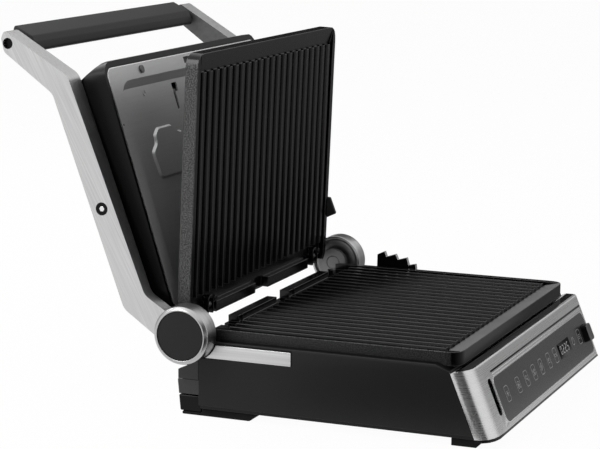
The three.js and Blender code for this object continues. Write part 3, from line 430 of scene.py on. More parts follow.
pane = Blank("panel_glass", Specular_IOR_Level=0.5)
depth_cloud = pane.noise(20, 2)
pane.drive("Base Color", pane.between(depth_cloud, grey(52), grey(58)))
pane.drive("Roughness", 0.22 + depth_cloud * 0.05)
panel_glass = pane.material


def printed(name, low, high):
    ink = Blank(name, Specular_IOR_Level=0.3)
    wear = ink.noise(700, 2)
    ink.drive("Base Color", ink.between(wear, grey(low), grey(high)))
    ink.drive("Roughness", 0.4 + wear * 0.1)
    return ink.material


pale_print = printed("pale_print", 186, 210)
lit_print = printed("lit_print", 236, 250)

board = Blank("circuit_board")
tracks = board.ramp(board.noise(600, 0), (0.48, 0), (0.52, 1))
board.drive("Base Color", board.between(tracks, (0.01, 0.06, 0.03, 1), (0.02, 0.12, 0.06, 1)))
board.drive("Roughness", 0.4 + tracks * 0.15)
circuit_board = board.material
print("finishes:", len(finishes))

# %% [markdown]
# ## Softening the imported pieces
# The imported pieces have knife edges, and a real moulding or casting never has. A copy of a piece is merged,
# since it comes as loose triangles, its flat faces are joined, and a Bevel modifier rounds each edge
# sharper than an angle. Hardened normals keep the flats flat, so that only the rounded edge catches the
# light.

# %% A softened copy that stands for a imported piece
def finish_piece(name, mesh, finish, body, slot, nodes=()):
    """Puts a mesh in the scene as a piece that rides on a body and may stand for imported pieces."""
    piece = bpy.data.objects.new(name, mesh)
    scene.collection.objects.link(piece)
    if not mesh.materials:
        mesh.materials.append(finish)
    mesh.shade_smooth()
    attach(piece, body)
    if nodes:
        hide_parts(*nodes)
    return piece


def stand_in(node, name, mesh, finish):
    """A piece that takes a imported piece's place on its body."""
    return finish_piece(name, mesh, finish, body_of[node], slot_of[node], [node])


def round_edges(piece, width, angle=35, segments=2, harden=True):
    bevel = piece.modifiers.new("edge_round", "BEVEL")
    bevel.width = width
    bevel.segments = segments
    bevel.limit_method = "ANGLE"
    bevel.angle_limit = math.radians(angle)
    bevel.harden_normals = harden
    bevel.use_clamp_overlap = True
    return piece


merge_distance = 0.01 * mm
flat_angle = math.radians(0.5)


def merged_copy(node):
    work = bmesh.new()
    work.from_mesh(frame["nodes"][node].data)
    bmesh.ops.remove_doubles(work, verts=work.verts, dist=merge_distance)
    bmesh.ops.dissolve_limit(work, angle_limit=flat_angle, verts=work.verts, edges=work.edges)
    return work


def to_mesh(work, name, *coats):
    mesh = bpy.data.meshes.new(name)
    work.to_mesh(mesh)
    work.free()
    if "custom_normal" in mesh.attributes:
        mesh.attributes.remove(mesh.attributes["custom_normal"])
    for coat in coats:
        mesh.materials.append(coat)
    return mesh


def softened(node, finish, width=0.6 * mm, angle=35, segments=2):
    mesh = to_mesh(merged_copy(node), node + "_soft")
    round_edges(stand_in(node, node + "_soft", mesh, finish), width, angle, segments)


print("softening ready")

# %% [markdown]
# Small pieces are drawn flat and then given a height, as from sheet: a face from its corners, its corners
# rounded by bevelling the points, an inset where only the border should stay, and an extrusion. One call
# then takes the piece from its drawing to its place on the grill.

# %% Flat shapes with a height
def border_only(work, width):
    """Leaves a border of a flat face and takes its middle out."""
    rim = bmesh.ops.inset_region(work, faces=work.faces[:], thickness=width, use_boundary=True,
                                 use_even_offset=True)["faces"]
    bmesh.ops.delete(work, geom=[face for face in work.faces if face not in rim], context="FACES")


def flat_shape(corners, radius=0.0, border=0.0, steps=4):
    work = bmesh.new()
    work.faces.new([work.verts.new((x, y, 0)) for x, y in corners])
    if radius:
        bmesh.ops.bevel(work, geom=work.verts[:], offset=radius, segments=steps, profile=0.5,
                        affect="VERTICES", material=-1)
    if border:
        border_only(work, border)
    return work


def box_corners(x, y, width, height):
    return [(x + i * width / 2, y + j * height / 2) for i, j in ((-1, -1), (1, -1), (1, 1), (-1, 1))]


def round_shape(x, y, radius, border=0.0, steps=24, flatten=1.0):
    work = bmesh.new()
    bmesh.ops.create_circle(work, cap_ends=True, segments=steps, radius=radius)
    bmesh.ops.scale(work, vec=(1, flatten, 1), verts=work.verts)
    if border:
        border_only(work, border)
    bmesh.ops.translate(work, vec=(x, y, 0), verts=work.verts)
    return work


def extruded(work, height):
    """Extrudes every face and moves the new points up or down."""
    made = bmesh.ops.extrude_face_region(work, geom=work.faces[:])["geom"]
    points = [item for item in made if isinstance(item, bmesh.types.BMVert)]
    bmesh.ops.translate(work, vec=(0, 0, height), verts=points)


def with_height(work, low, high):
    bmesh.ops.translate(work, vec=(0, 0, low), verts=work.verts)
    extruded(work, high - low)
    bmesh.ops.recalc_face_normals(work, faces=work.faces)
    return work


def gathered(works):
    whole = bmesh.new()
    for work in works:
        mesh = to_mesh(work, "gathered")
        whole.from_mesh(mesh)
        bpy.data.meshes.remove(mesh)
    return whole


def placed(name, work, matrix, finish, body, slot, nodes=()):
    bmesh.ops.transform(work, matrix=matrix, verts=work.verts)
    bmesh.ops.recalc_face_normals(work, faces=work.faces)
    return finish_piece(name, to_mesh(work, name), finish, body, slot, nodes)


print("flat shapes ready")

# %% [markdown]
# ## Base
# The covers and the tub are mouldings with small soft edges. The steel trim is thin strip, so its edges are
# tighter.

# %% Softened pieces of the base
for node, finish, width in (
        ("side_cover_left", black_moulding, 0.5), ("side_cover_right", black_moulding, 0.5),
        ("side_trim_left", brushed_strip, 0.35), ("side_trim_right", brushed_strip, 0.35),
        ("plate_bed", deep_black, 0.5), ("base_tub", black_moulding, 0.5), ("drip_chute", deep_black, 0.3),
        ("foot_rear_left", foot_rubber, 1.0), ("foot_rear_right", foot_rubber, 1.0),
        ("foot_front_left", foot_rubber, 1.0), ("foot_front_right", foot_rubber, 1.0)):
    softened(node, finish, width * mm)
print("base pieces softened")

# %% [markdown]
# The rear end is the drip tray's face, the block beside it with the cord gland, and the rear cover above.
# Tray and block are deep black below and a lighter grey above, and the two meet in a thin parting line.
# Bisecting the copy at that height and closing the cut gives two solids with a real gap between them.

# %% Rear end in two shades
tolerance = 0.001 * mm


def cut_along(work, place, normal, clear_outer=False):
    """Cuts a shape along a plane and gives back the edges of the cut."""
    everything = work.verts[:] + work.edges[:] + work.faces[:]
    cut = bmesh.ops.bisect_plane(work, geom=everything, dist=tolerance, plane_co=place, plane_no=normal,
                                 clear_outer=clear_outer)["geom_cut"]
    return [item for item in cut if isinstance(item, bmesh.types.BMEdge)]


def slab_of(node, low, high):
    """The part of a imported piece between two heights, its cuts closed."""
    work = merged_copy(node)
    for height, side in ((low, -1), (high, 1)):
        rim = cut_along(work, (0, 0, height), (0, 0, side), clear_outer=True)
        if rim:
            bmesh.ops.triangle_fill(work, edges=rim, use_beauty=True, use_dissolve=True)
    bmesh.ops.recalc_face_normals(work, faces=work.faces)
    return work


parting = 16.4 * mm
parting_gap = 0.5 * mm
overrun = 1 * mm
for node in ("drip_tray", "cord_block"):
    low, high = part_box(node)
    lower = slab_of(node, low.z - overrun, parting - parting_gap / 2)
    upper = slab_of(node, parting + parting_gap / 2, high.z + overrun)
    for face in upper.faces:
        face.material_index = 1
    mesh = to_mesh(gathered([lower, upper]), node + "_parted", deep_black, band_moulding)
    round_edges(stand_in(node, node + "_parted", mesh, deep_black), 1.6 * mm, 35, 3)
softened("rear_cover", deep_black, 2.6 * mm, 35, 4)
for side in ("left", "right"):
    softened("hinge_bracket_" + side, bracket_moulding if side == "left" else satin_steel, 1.0 * mm, 35, 3)
print("rear end parted at", in_mm(parting), "mm")

# %% [markdown]
# The front frame is drawn steel with its grain across, and its left corner turns in one wide curve. It
# stands on a black foot strip, and its level deck is polished. The copy is cut at the strip's height and
# just under the deck, so that each can have its own finish. The large flats are inset, so that the shading
# of the rounded edges ends close to them.

# %% Front frame with its foot strip
foot_strip_height = 2.2 * mm
deck_edge = 1.4 * mm
flat_area = 500 * mm * mm
flat_inset = 1.0 * mm
deck_facing = 0.95
foot_strip_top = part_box("front_frame")[0].z + foot_strip_height
work = merged_copy("front_frame")
for height in (foot_strip_top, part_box("front_frame")[1].z - deck_edge):
    cut_along(work, (0, 0, height), (0, 0, 1))
for face in work.faces:
    if face.calc_center_median().z < foot_strip_top:
        face.material_index = 1
    elif face.normal.z > deck_facing:
        face.material_index = 2
flats = [face for face in work.faces if face.calc_area() > flat_area]
bmesh.ops.inset_individual(work, faces=flats, thickness=flat_inset, use_even_offset=True)
mesh = to_mesh(work, "front_frame_soft", brushed_front, deep_black, polished_deck)
front_piece = stand_in("front_frame", "front_frame_soft", mesh, brushed_front)
round_edges(front_piece, 0.6 * mm, 40, 3, harden=False)
softened("control_glass", panel_glass, 0.3 * mm)
softened("panel_carrier", deep_black, 0.4 * mm)
print("foot strip below", in_mm(foot_strip_top), "mm")

# %% [markdown]
# A bright bezel holds the glass: a narrow rounded border on three sides and a wider strip above. Over it a
# groove runs across the frame. Its shade is painted: a flush black strip, because a 1.5 mm joint shows
# nothing but its darkness.

# %% Bezel, strip and painted groove shade
glass_low, glass_high = box_in("control_glass", panel_frame)
glass_middle = (glass_low + glass_high) / 2
glass_size = glass_high - glass_low
trim_foot = -0.6 * mm


def panel_bar(x, y, width, height, radius, top, border=0.0, steps=4):
    """A flat bar on the sloped panel, sunk a little so that no gap shows under it."""
    return with_height(flat_shape(box_corners(x, y, width, height), radius, border, steps), trim_foot, top)


bezel_width = 1.0 * mm
bezel_overlap = 0.1 * mm
bezel = panel_bar(glass_middle.x, glass_middle.y, glass_size.x + 2 * bezel_width,
                  glass_size.y + 2 * bezel_width, 6.4 * mm, 0.22 * mm, bezel_width - bezel_overlap, 6)
round_edges(placed("glass_bezel", bezel, panel_frame, bright_steel, "base", "steel_trim"), 0.12 * mm, 30, 1)
strip_low, strip_high = 1.2 * mm, 3.6 * mm
strip_middle = glass_middle.x + 1.5 * mm
strip = panel_bar(strip_middle, (strip_low + strip_high) / 2, glass_size.x - 4 * mm, strip_high - strip_low,
                  0.8 * mm, 0.3 * mm)
round_edges(placed("bezel_strip", strip, panel_frame, bright_steel, "base", "steel_trim"), 0.4 * mm, 30, 2)
groove_low, groove_high = 4.7 * mm, 6.3 * mm
# A flush black strip is the groove's painted shade.
groove_shade = panel_bar(strip_middle, (groove_low + groove_high) / 2, glass_size.x, groove_high - groove_low,
                   0.5 * mm, 0.06 * mm)
placed("panel_groove", groove_shade, panel_frame, deep_black, "base", "black_plastic")
print("glass", in_mm(glass_size.x), "x", in_mm(glass_size.y), "mm")

# %% [markdown]
# The signs are printed under the glass in a pale ink, as thin borders with a small picture of a dish in
# each. They are drawn from a few kinds of strokes, so that each picture is a short list. Real ink has no
# height, and a few hundredths of a millimetre keep it clear of the glass.

# %% Signs on the panel
ink_low, ink_high = 0.02 * mm, 0.08 * mm
line = 0.45 * mm
end_rounding = 0.45


def stroke(kind, x, y, *size):
    """In millimetres: a bar or a box (width, height, turn), or a ring (radius, flatness)."""
    if kind == "ring":
        return round_shape(x * mm, y * mm, size[0] * mm, line, 20, size[1])
    corners = box_corners(0, 0, size[0] * mm, size[1] * mm)
    work = flat_shape(corners, min(size[:2]) * end_rounding * mm, line if kind == "box" else 0)
    bmesh.ops.rotate(work, matrix=Matrix.Rotation(math.radians(size[2]), 3, "Z"), verts=work.verts)
    bmesh.ops.translate(work, vec=(x * mm, y * mm, 0), verts=work.verts)
    return work


dish_signs = {
    -91.5: [("bar", 0, 0, 5.4, 0.5, 0), ("bar", 0, 0, 5.4, 0.5, 60), ("bar", 0, 0, 5.4, 0.5, 120)],
    -62.0: [("ring", 0, 1.5, 2.7, 0.5), ("bar", 0, -0.3, 5.6, 0.5, 0), ("ring", 0, -2.0, 2.7, 0.38)],
    -39.4: [("ring", -0.6, 0.8, 2.2, 0.75), ("bar", 1.8, -1.6, 3.2, 0.7, -45)],
    -18.0: [("box", 0, 1.4, 5.6, 1.7, 12), ("box", 0, -1.4, 5.6, 1.7, 12)],
    2.7: [("box", -0.4, 1.3, 5.4, 1.9, 30), ("box", 0.4, -1.3, 5.4, 1.9, 30)],
    25.4: [("ring", 0, 0, 2.8, 0.8), ("ring", -0.8, 0.5, 0.9, 1.0)],
    45.3: [("ring", -0.5, 0, 2.6, 0.55), ("bar", 2.7, 0.7, 1.8, 0.5, 55), ("bar", 2.7, -0.7, 1.8, 0.5, -55)],
}
sign_lift = 0.9
sign_middle = glass_middle.y / mm + sign_lift
sign_width, sign_height, sign_corner = 9.4, 13.0, 2.4


def sign_border(x):
    corners = box_corners(x * mm, sign_middle * mm, sign_width * mm, sign_height * mm)
    return flat_shape(corners, sign_corner * mm, line)


strokes = []
for x, picture in dish_signs.items():
    strokes.append(sign_border(x))
    strokes += [stroke(kind, x + dx, sign_middle + dy, *size) for kind, dx, dy, *size in picture]
dial_x, plate_x = 101.0, 120.4
strokes.append(stroke("ring", dial_x, sign_middle, 3.5, 1.0))
strokes.append(stroke("bar", dial_x, sign_middle + 1.2, 0.5, 2.0, 0))
strokes.append(sign_border(plate_x))
strokes += [stroke("bar", plate_x, sign_middle + dy, 5.0, 0.5, 0) for dy in (-1.6, 0, 1.6)]
placed("panel_signs", with_height(gathered(strokes), ink_low, ink_high), panel_frame, pale_print, "base",
       "control_glass")
print("strokes on the panel:", len(strokes))

# %% [markdown]
# The display is a black window with a time in pale bars. Seven bars make any figure, and a string of seven
# flags per figure says which of them are lit.

# %% Display figures
display_x, display_width, display_height = 73.5, 35.0, 13.2
window_corner, window_low, window_high = 0.6 * mm, -0.1 * mm, 0.03 * mm
window = box_corners(display_x * mm, sign_middle * mm, display_width * mm, display_height * mm)
work = with_height(flat_shape(window, window_corner), window_low, window_high)
placed("display_window", work, panel_frame, window_black, "base", "control_glass")
bar_places = [(0, 1, 1), (-1, 0.5, 0), (1, 0.5, 0), (0, 0, 1), (-1, -0.5, 0), (1, -0.5, 0), (0, -1, 1)]
figures = {"0": "1110111", "2": "1011101", "5": "1101011"}
figure_half_width, figure_half_height, bar_width, bar_gap = 1.7, 3.3, 0.8, 0.4
figure_pitch = 6.6
figure_low, figure_high = 0.05 * mm, 0.1 * mm
level_bar = (figure_half_width * 2 - bar_gap, bar_width)
upright_bar = (bar_width, figure_half_height - bar_gap)
bars = []
for place, figure in enumerate("0225"):
    figure_x = display_x + (place - 1.5) * figure_pitch
    for lit, (dx, dy, level) in zip(figures[figure], bar_places):
        if lit == "1":
            x, y = figure_x + dx * figure_half_width, sign_middle + dy * figure_half_height
            bars.append(stroke("bar", x, y, *(level_bar if level else upright_bar), 0))
placed("display_figures", with_height(gathered(bars), figure_low, figure_high), panel_frame, lit_print,
       "base", "control_glass")
print("bars lit:", len(bars))

# %% [markdown]
# The power button is a black key with a grey face, and the height slider is black with bright steps. Each
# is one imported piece, so its faces are sorted by where they look.

# %% Faces of one piece in two finishes
def two_finishes(node, finish, face_finish, direction, width, angle=35, segments=2, share=0.7):
    """A softened copy whose faces that look along a direction have a finish of their own."""
    work = merged_copy(node)
    for face in work.faces:
        face.material_index = int(face.normal.dot(direction) > share)
    mesh = to_mesh(work, node + "_soft", finish, face_finish)
    round_edges(stand_in(node, node + "_soft", mesh, finish), width, angle, segments)


two_finishes("power_button", deep_black, dark_steel, panel_out, 0.7 * mm, segments=3)
two_finishes("height_slider", deep_black, brushed_strip, Vector((0, -1, 0)), 0.25 * mm)
print("button and slider done")

# %% [markdown]
# The ribs of the two plates are rounded over, at the top and at their ends, and meet the floor in a small
# fillet. The Bevel modifier does both at once, because a fillet is only the bevel of an inner edge. It
# gives the rounded faces a lighter finish too, which is a painted highlight. Its overlap limit is off,
# because that limit takes one width for the whole casting from its smallest edge. The width is small, so
# that the plates stay clear of each other when the lid is shut. Each is one casting, so a drawing frame on
# its rim serves for what stands on it: X across, Y in from the hinge edge, Z up from the rim.

# %% Grill plates
lower_low, lower_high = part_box("lower_plate")
apron_length = 22 * mm
level_facing, front_facing = 0.5, 0.6
apron_start = lower_low.y + apron_length
rib_round = {"lower_plate": 0.4 * mm, "upper_plate": 0.5 * mm}
upper_low, upper_high = box_in("upper_plate", tip_frame)
lower_rim = Matrix.Translation((0, lower_high.y, lower_high.z))
upper_rim = tip_frame @ Matrix.Translation((0, upper_high.y, upper_low.z))
plate_frames = {"lower_plate": lower_rim @ Matrix.Diagonal((1, -1, 1, 1)),
                "upper_plate": upper_rim @ Matrix.Diagonal((1, -1, -1, 1))}
plate_coats = {"lower_plate": (lower_coat, rubbed_coat, wall_black, worn_edge),
               "upper_plate": (cooking_coat, rubbed_coat, wall_black, edge_coat)}
for node in plate_frames:
    work = merged_copy(node)
    for face in work.faces:
        middle, facing = face.calc_center_median(), face.normal
        # Level faces of the apron get the light coat, a painted reflection; its front-wall faces get the duller
        # black.
        if node == "lower_plate" and middle.y < apron_start:
            if facing.z > level_facing:
                face.material_index = 1
            elif facing.y < -front_facing and abs(facing.z) < level_facing:
                face.material_index = 2
    mesh = to_mesh(work, node + "_soft", *plate_coats[node])
    piece = stand_in(node, node + "_soft", mesh, cooking_coat)
    bevel = round_edges(piece, rib_round[node], 30, 3).modifiers[0]
    # The bevel's rounded faces get the last coat of the list, a painted highlight.
    bevel.material = len(plate_coats[node]) - 1
    bevel.use_clamp_overlap = False
tip_when_shut = lid_frame.inverted() @ Vector(joints["upper_plate_tip"]["pos_m"])
shut_gap = joints["lid_hinge"]["pos_m"][2] + tip_when_shut.z + upper_low.z - lower_high.z
print("gap between the rims when shut", round(shut_gap / mm, 2), "mm")

# %% [markdown]
# At the hinge edge each plate has cast details. The upper plate has raised lips round the notches for the
# hooks and a round boss beside each, and the lower plate has small posts. A lip is a rounded border whose
# open end is cut off at the edge.

# %% Lips, bosses and posts at the hinge edge
proud = 0.2
lip_corner_share = 0.46
lip_foot = -4.0
lip_end = 0.4 * mm
boss_shift = 9.4


def cast_lip(x, width, length, height, wall):
    corners = box_corners(x * mm, 0, width * mm, 2 * length * mm)
    work = flat_shape(corners, width * lip_corner_share * mm, wall * mm, 6)
    cut_along(work, (0, lip_end, 0), (0, -1, 0), clear_outer=True)
    return with_height(work, lip_foot * mm, height * mm)


def cast_post(x, inset, radius, height, foot=-5.0):
    work = round_shape(x * mm, inset * mm, radius * mm, steps=20)
    return with_height(work, foot * mm, height * mm)


hook_places = (-105.0, 120.0)
details = {
    "lower_plate": [cast_post(x, inset=7.4, radius=2.6, height=proud) for x in (-87, 23, 113)]
    + [cast_post(-23, inset=3.2, radius=2.0, height=-3.4, foot=-7.0)],
    "upper_plate": [cast_lip(x, width=11.4, length=16.4, height=proud, wall=2.1) for x in hook_places]
    + [cast_post(x + boss_shift, inset=11.6, radius=2.9, height=proud) for x in hook_places],
}
for node, works in details.items():
    name = node.replace("plate", "details")
    piece = placed(name, gathered(works), plate_frames[node], cooking_coat, body_of[node], slot_of[node])
    round_edges(piece, 0.6 * mm, 30, 3)
print("cast details:", sum(len(works) for works in details.values()))

# %% [markdown]
# ## Lid
# The arms are thick metal with all edges eased. Their outer sides are brushed, and their inner sides
# have a darker, rougher finish that is painted shade, which the far arm shows. The head is one black
# moulding, and the pan is sheet.

# %% Arms, grip and head
for side in ("left", "right"):
    inward = Vector((1 if side == "left" else -1, 0, 0))
    # Faces that look inward get the darker finish, which is painted shade.
    two_finishes("arm_" + side, brushed_arm, cast_arm, inward, 1.0 * mm, 40, 3)
    for node, finish, width in (
            ("handle_bolt_", deep_black, 0.4), ("pivot_screw_", deep_black, 0.4),
            ("hinge_bush_", satin_steel, 0.2), ("pivot_bush_", grey_moulding, 0.2),
            ("plate_hook_", dark_steel, 0.4), ("hinge_pin_", satin_steel, 0.4)):
        softened(node + side, finish, width * mm)
softened("handle_grip", grip_moulding, 0.8 * mm, 50, 3)
softened("lid_housing", deep_black, 0.8 * mm)
softened("lid_pan", pressed_pan, 1.4 * mm, 30, 3)
softened("height_stop", grey_moulding, 0.6 * mm)
softened("plate_catch", grey_moulding, 0.5 * mm)
for number in (1, 2, 3):
    softened(f"pan_screw_{number}", dark_steel, 0.3 * mm)
print("lid pieces softened")

# %% [markdown]
# Each pivot screw is black with a bright socket, a six-sided disc set on its head.

# %% Bright sockets of the pivot screws
socket_radius, socket_low, socket_high = 2.3 * mm, -0.1 * mm, 0.35 * mm
for side, sign in (("left", -1), ("right", 1)):
    screw = "pivot_screw_" + side
    low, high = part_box(screw)
    face = high.x if sign > 0 else low.x
    work = with_height(round_shape(0, 0, socket_radius, steps=6), socket_low, socket_high)
    outward = Matrix.Rotation(sign * math.radians(90), 4, "Y")
    socket_frame = Matrix.Translation((face, (low.y + high.y) / 2, (low.z + high.z) / 2)) @ outward
    piece = placed("pivot_socket_" + side, work, socket_frame, bright_steel, body_of[screw], slot_of[screw])
    round_edges(piece, 0.15 * mm)
print("sockets set")

# %% [markdown]
# The pan has a raised pad with sloped sides, and round dimples where the sheet was fixed. Places are X and,
# as u, the way in front of the pivot screws, in the frame of the shut lid. The pad's outline is inset for
# its slopes, and its top is moved out.

# %% Pressed details of the pan
pan_low, pan_high = box_in("lid_pan", lid_frame)
pivot_y = -113.1
sheet = 1.0 * mm
recess_face = pan_high.z - sheet
pad_outline = [(-43, 44.5), (-54, 51.6), (-79, 51.6), (-88, 46), (-88.5, 39), (-98, 33), (-98.5, 28),
               (-96.5, 11), (-92, 8), (-36, 8), (-36, 44.5)]
pad_corner, pad_slope, pad_rise = 2.2 * mm, 2.4 * mm, 2.2 * mm
sunk = 0.2 * mm
pad_back = 0.5 * mm


def on_pan(name, works, finish):
    """A detail of the pan, drawn in the frame of the shut lid."""
    return placed(name, works, lid_frame, finish, body_of["lid_pan"], slot_of["lid_pan"])


pad = flat_shape([(x * mm, (pivot_y - u) * mm) for x, u in pad_outline], pad_corner, 0, 3)
bmesh.ops.recalc_face_normals(pad, faces=pad.faces)
slope = bmesh.ops.inset_region(pad, faces=pad.faces[:], thickness=pad_slope, depth=0, use_boundary=True,
                               use_even_offset=True)["faces"]
pad_top = [face for face in pad.faces if face not in slope]
bmesh.ops.translate(pad, vec=(0, 0, -pad_rise), verts=list({vert for face in pad_top for vert in face.verts}))
bmesh.ops.translate(pad, vec=(0, 0, recess_face + sunk), verts=pad.verts)
bmesh.ops.smooth_vert(pad, verts=pad.verts, factor=0.2, use_axis_x=True, use_axis_y=True, use_axis_z=False)
if pad_top[0].normal.dot((0, 0, -1)) < 0:
    bmesh.ops.reverse_faces(pad, faces=pad.faces)
extruded(pad, pad_back)
print("pad corners:", len(pad_outline))

# %% [markdown]
# The dimples are small rings on the sheet, and two of them have a flush dark disc inside, painted shade
# that stands for the hole. The rolled rim is a border as long and wide as the pan, in a brighter and glossier
# steel than the sheet: a painted highlight along the edge.

# %% Dimples, hole shades and bright rim of the pan
dimple_rise, rim_rise = 0.7 * mm, 0.08 * mm
ring_width = 0.9 * mm
hole_low, hole_high = 0.12 * mm, 0.1 * mm
rim_corner = 9 * mm
dimples = ((-81.7, 81.2, 2.7, recess_face, dimple_rise), (-142.3, 59.5, 1.8, pan_low.z, rim_rise),
           (-128, -48, 1.8, recess_face, dimple_rise), (-121, -60, 1.8, recess_face, dimple_rise))
rings = []
for x, u, radius, floor, height in dimples:
    ring = round_shape(x * mm, (pivot_y - u) * mm, radius * mm, ring_width)
    rings.append(with_height(ring, floor - height, floor + sunk))
round_edges(on_pan("pan_pressings", gathered([pad] + rings), pressed_pan), 0.7 * mm, 20, 3)
# Each hole is a flush dark disc: painted shade.
hole_shades = []
for x, u, radius, floor in ((-81.7, 81.2, 1.7, recess_face), (-142.3, 59.5, 0.9, pan_low.z)):
    hole = round_shape(x * mm, (pivot_y - u) * mm, radius * mm)
    hole_shades.append(with_height(hole, floor - hole_low, floor + hole_high))
on_pan("pan_hollows", gathered(hole_shades), deep_black)
pan_size = pan_high - pan_low
pan_middle = (pan_low + pan_high) / 2
rim_corners = box_corners(pan_middle.x, pan_middle.y, pan_size.x, pan_size.y)
# The rim's brighter, glossier steel is a painted highlight along the pan's edge.
rolled_rim = flat_shape(rim_corners, rim_corner, ring_width, 8)
rolled_rim = with_height(rolled_rim, pan_low.z - rim_rise, pan_low.z + sunk)
round_edges(on_pan("pan_rim", rolled_rim, bright_steel), 0.12 * mm)
print("pan face at", in_mm(pan_low.z), "and", in_mm(recess_face), "mm")

# %% [markdown]
# The hinge drums are turned parts. A profile is half a section, and one spin about the hinge axis makes the
# whole solid. Rounding the profile's corners first rounds the solid.

# %% A profile turned about the hinge axis
hinge_place = Vector(joints["lid_hinge"]["pos_m"])
turn_steps = 96
corner_share = 0.45


def spun(profile, name):
    """Closed solid from a profile of (x, radius), which ends on the hinge axis or closes on itself."""
    work = bmesh.new()
    points = [work.verts.new((x, hinge_place.y, hinge_place.z + radius)) for x, radius in profile]
    edges = [work.edges.new(pair) for pair in zip(points, points[1:])]
    bmesh.ops.spin(work, geom=points + edges, cent=hinge_place, axis=(1, 0, 0), angle=math.tau,
                   steps=turn_steps, use_merge=True)
    bmesh.ops.remove_doubles(work, verts=work.verts, dist=tolerance)
    bmesh.ops.recalc_face_normals(work, faces=work.faces)
    return to_mesh(work, name)


def eased(corners, radius, steps=4):
    """The corners of a profile with each inner one replaced by a short arc."""
    made = [Vector(corners[0])]
    for before, corner, after in zip(corners, corners[1:], corners[2:]):
        corner = Vector(corner)
        inward = Vector(before) - corner
        onward = Vector(after) - corner
        run = min(radius, inward.length * corner_share, onward.length * corner_share)
        start, end = corner + inward.normalized() * run, corner + onward.normalized() * run
        for step in range(steps + 1):
            t = step / steps
            made.append(start * (1 - t) ** 2 + corner * 2 * t * (1 - t) + end * t ** 2)
    return [tuple(point) for point in made + [Vector(corners[-1])]]


print("steps in a turn:", turn_steps)

# %% [markdown]
# Each side has three turned pieces: the drum, hollow at its inner side, a steel plate set back in that
# hollow, and the dark cap in the outer end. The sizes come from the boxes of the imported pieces.

# %% Drums, their plates and caps
drum_bevel = 2.4 * mm
drum_seat = 3.6 * mm
drum_floor = 2 * mm
cap_gap = 0.4 * mm
dish_wall = 2.2 * mm
dish_slope = 1.2 * mm
bush_gap = 0.3 * mm
hole_gap = 0.6 * mm
plate_back, plate_bend, plate_face = 0.5 * mm, 1.4 * mm, 2.1 * mm
plate_edge, plate_dish = 1.4 * mm, 3.0 * mm
cap_back, cap_edge, cap_middle = 0.3 * mm, 0.5 * mm, 0.4 * mm
for side, sign in (("left", -1), ("right", 1)):
    drum_node, cap_node = "hinge_drum_" + side, "drum_cap_" + side
    low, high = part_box(drum_node)
    inner, outer = sorted((abs(low.x), abs(high.x)))
    radius = (high.z - low.z) / 2
    cap_low, cap_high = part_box(cap_node)
    cap_radius = (cap_high.z - cap_low.z) / 2
    bush_low, bush_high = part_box("hinge_bush_" + side)
    bush_radius = (bush_high.z - bush_low.z) / 2
    lip = cap_radius + cap_gap
    dish = radius - dish_wall
    profile = [(outer - drum_seat, 0), (outer - drum_seat, lip), (outer, lip), (outer, radius - drum_bevel),
               (outer - drum_bevel, radius), (inner, radius), (inner, dish),
               (inner + dish_wall, dish - dish_slope), (inner + dish_wall, bush_radius + bush_gap),
               (outer - drum_seat - drum_floor, bush_radius + bush_gap), (outer - drum_seat - drum_floor, 0)]
    drum = spun([(sign * x, r) for x, r in eased(profile, 0.7 * mm)], drum_node + "_turned")
    stand_in(drum_node, drum.name, drum, turned_steel)
    hole = bush_radius + hole_gap
    plate = [(inner + plate_back, hole), (inner + plate_back, dish - plate_dish),
             (inner + plate_bend, dish - plate_edge), (inner + plate_face, dish - plate_edge),
             (inner + plate_face, hole), (inner + plate_back, hole)]
    plate_mesh = spun([(sign * x, r) for x, r in eased(plate, 0.8 * mm)], f"drum_plate_{side}")
    finish_piece(plate_mesh.name, plate_mesh, satin_steel, body_of[drum_node], slot_of[cap_node])
    cap = [(outer - drum_seat + cap_back, 0), (outer - drum_seat + cap_back, cap_radius),
           (outer - cap_edge, cap_radius), (outer - cap_middle, 0)]
    cap_mesh = spun([(sign * x, r) for x, r in eased(cap, 0.5 * mm)], cap_node + "_turned")
    stand_in(cap_node, cap_mesh.name, cap_mesh, cap_moulding)
print("drum radius", round(radius / mm, 2), "mm")

# %% [markdown]
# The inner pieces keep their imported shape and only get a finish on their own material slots, so that
# nothing stays in its plain import colour.

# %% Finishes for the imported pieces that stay
slot_finish = {"black_plastic": black_moulding, "grey_plastic": grey_moulding, "grip_plastic": grip_moulding,
               "arm_metal": brushed_arm, "steel_frame": brushed_front, "steel_trim": brushed_strip,
               "dark_steel": dark_steel, "cast_plate": cooking_coat, "pan_aluminium": pressed_pan,
               "control_glass": panel_glass, "circuit_board": circuit_board, "rubber": foot_rubber}
for node, piece in frame["nodes"].items():
    for place in piece.material_slots:
        place.material = slot_finish[slot_of[node]]
print("kept pieces:", sum(not piece.hide_render for piece in frame["nodes"].values()))

# %% [markdown]
# ## Stage and light
# The grill stands on a plain white floor that runs on to the horizon, so the floor is the whole background.
# To the camera it adds a plain glow of its own, which makes it white without more light on the grill. The
# rest of its brightness comes from the lamps, so the shadow stays.

# %% Floor
def seen_directly(tree):
    """1 for rays that should meet the plain white background."""
    kinds = ("Is Camera Ray", "Is Glossy Ray", "Is Transmission Ray")
    camera_ray, glossy, through = (Wire.node(tree, "LightPath", output=kind) for kind in kinds)
    return camera_ray.sum("MAXIMUM", camera_ray, glossy.sum("MAXIMUM", glossy, through))


def staged(name, work, finish):
    """A piece of the studio: not part of the grill."""
    piece = bpy.data.objects.new(name, to_mesh(work, name))
    piece.data.materials.append(finish)
    scene.collection.objects.link(piece)
    return piece


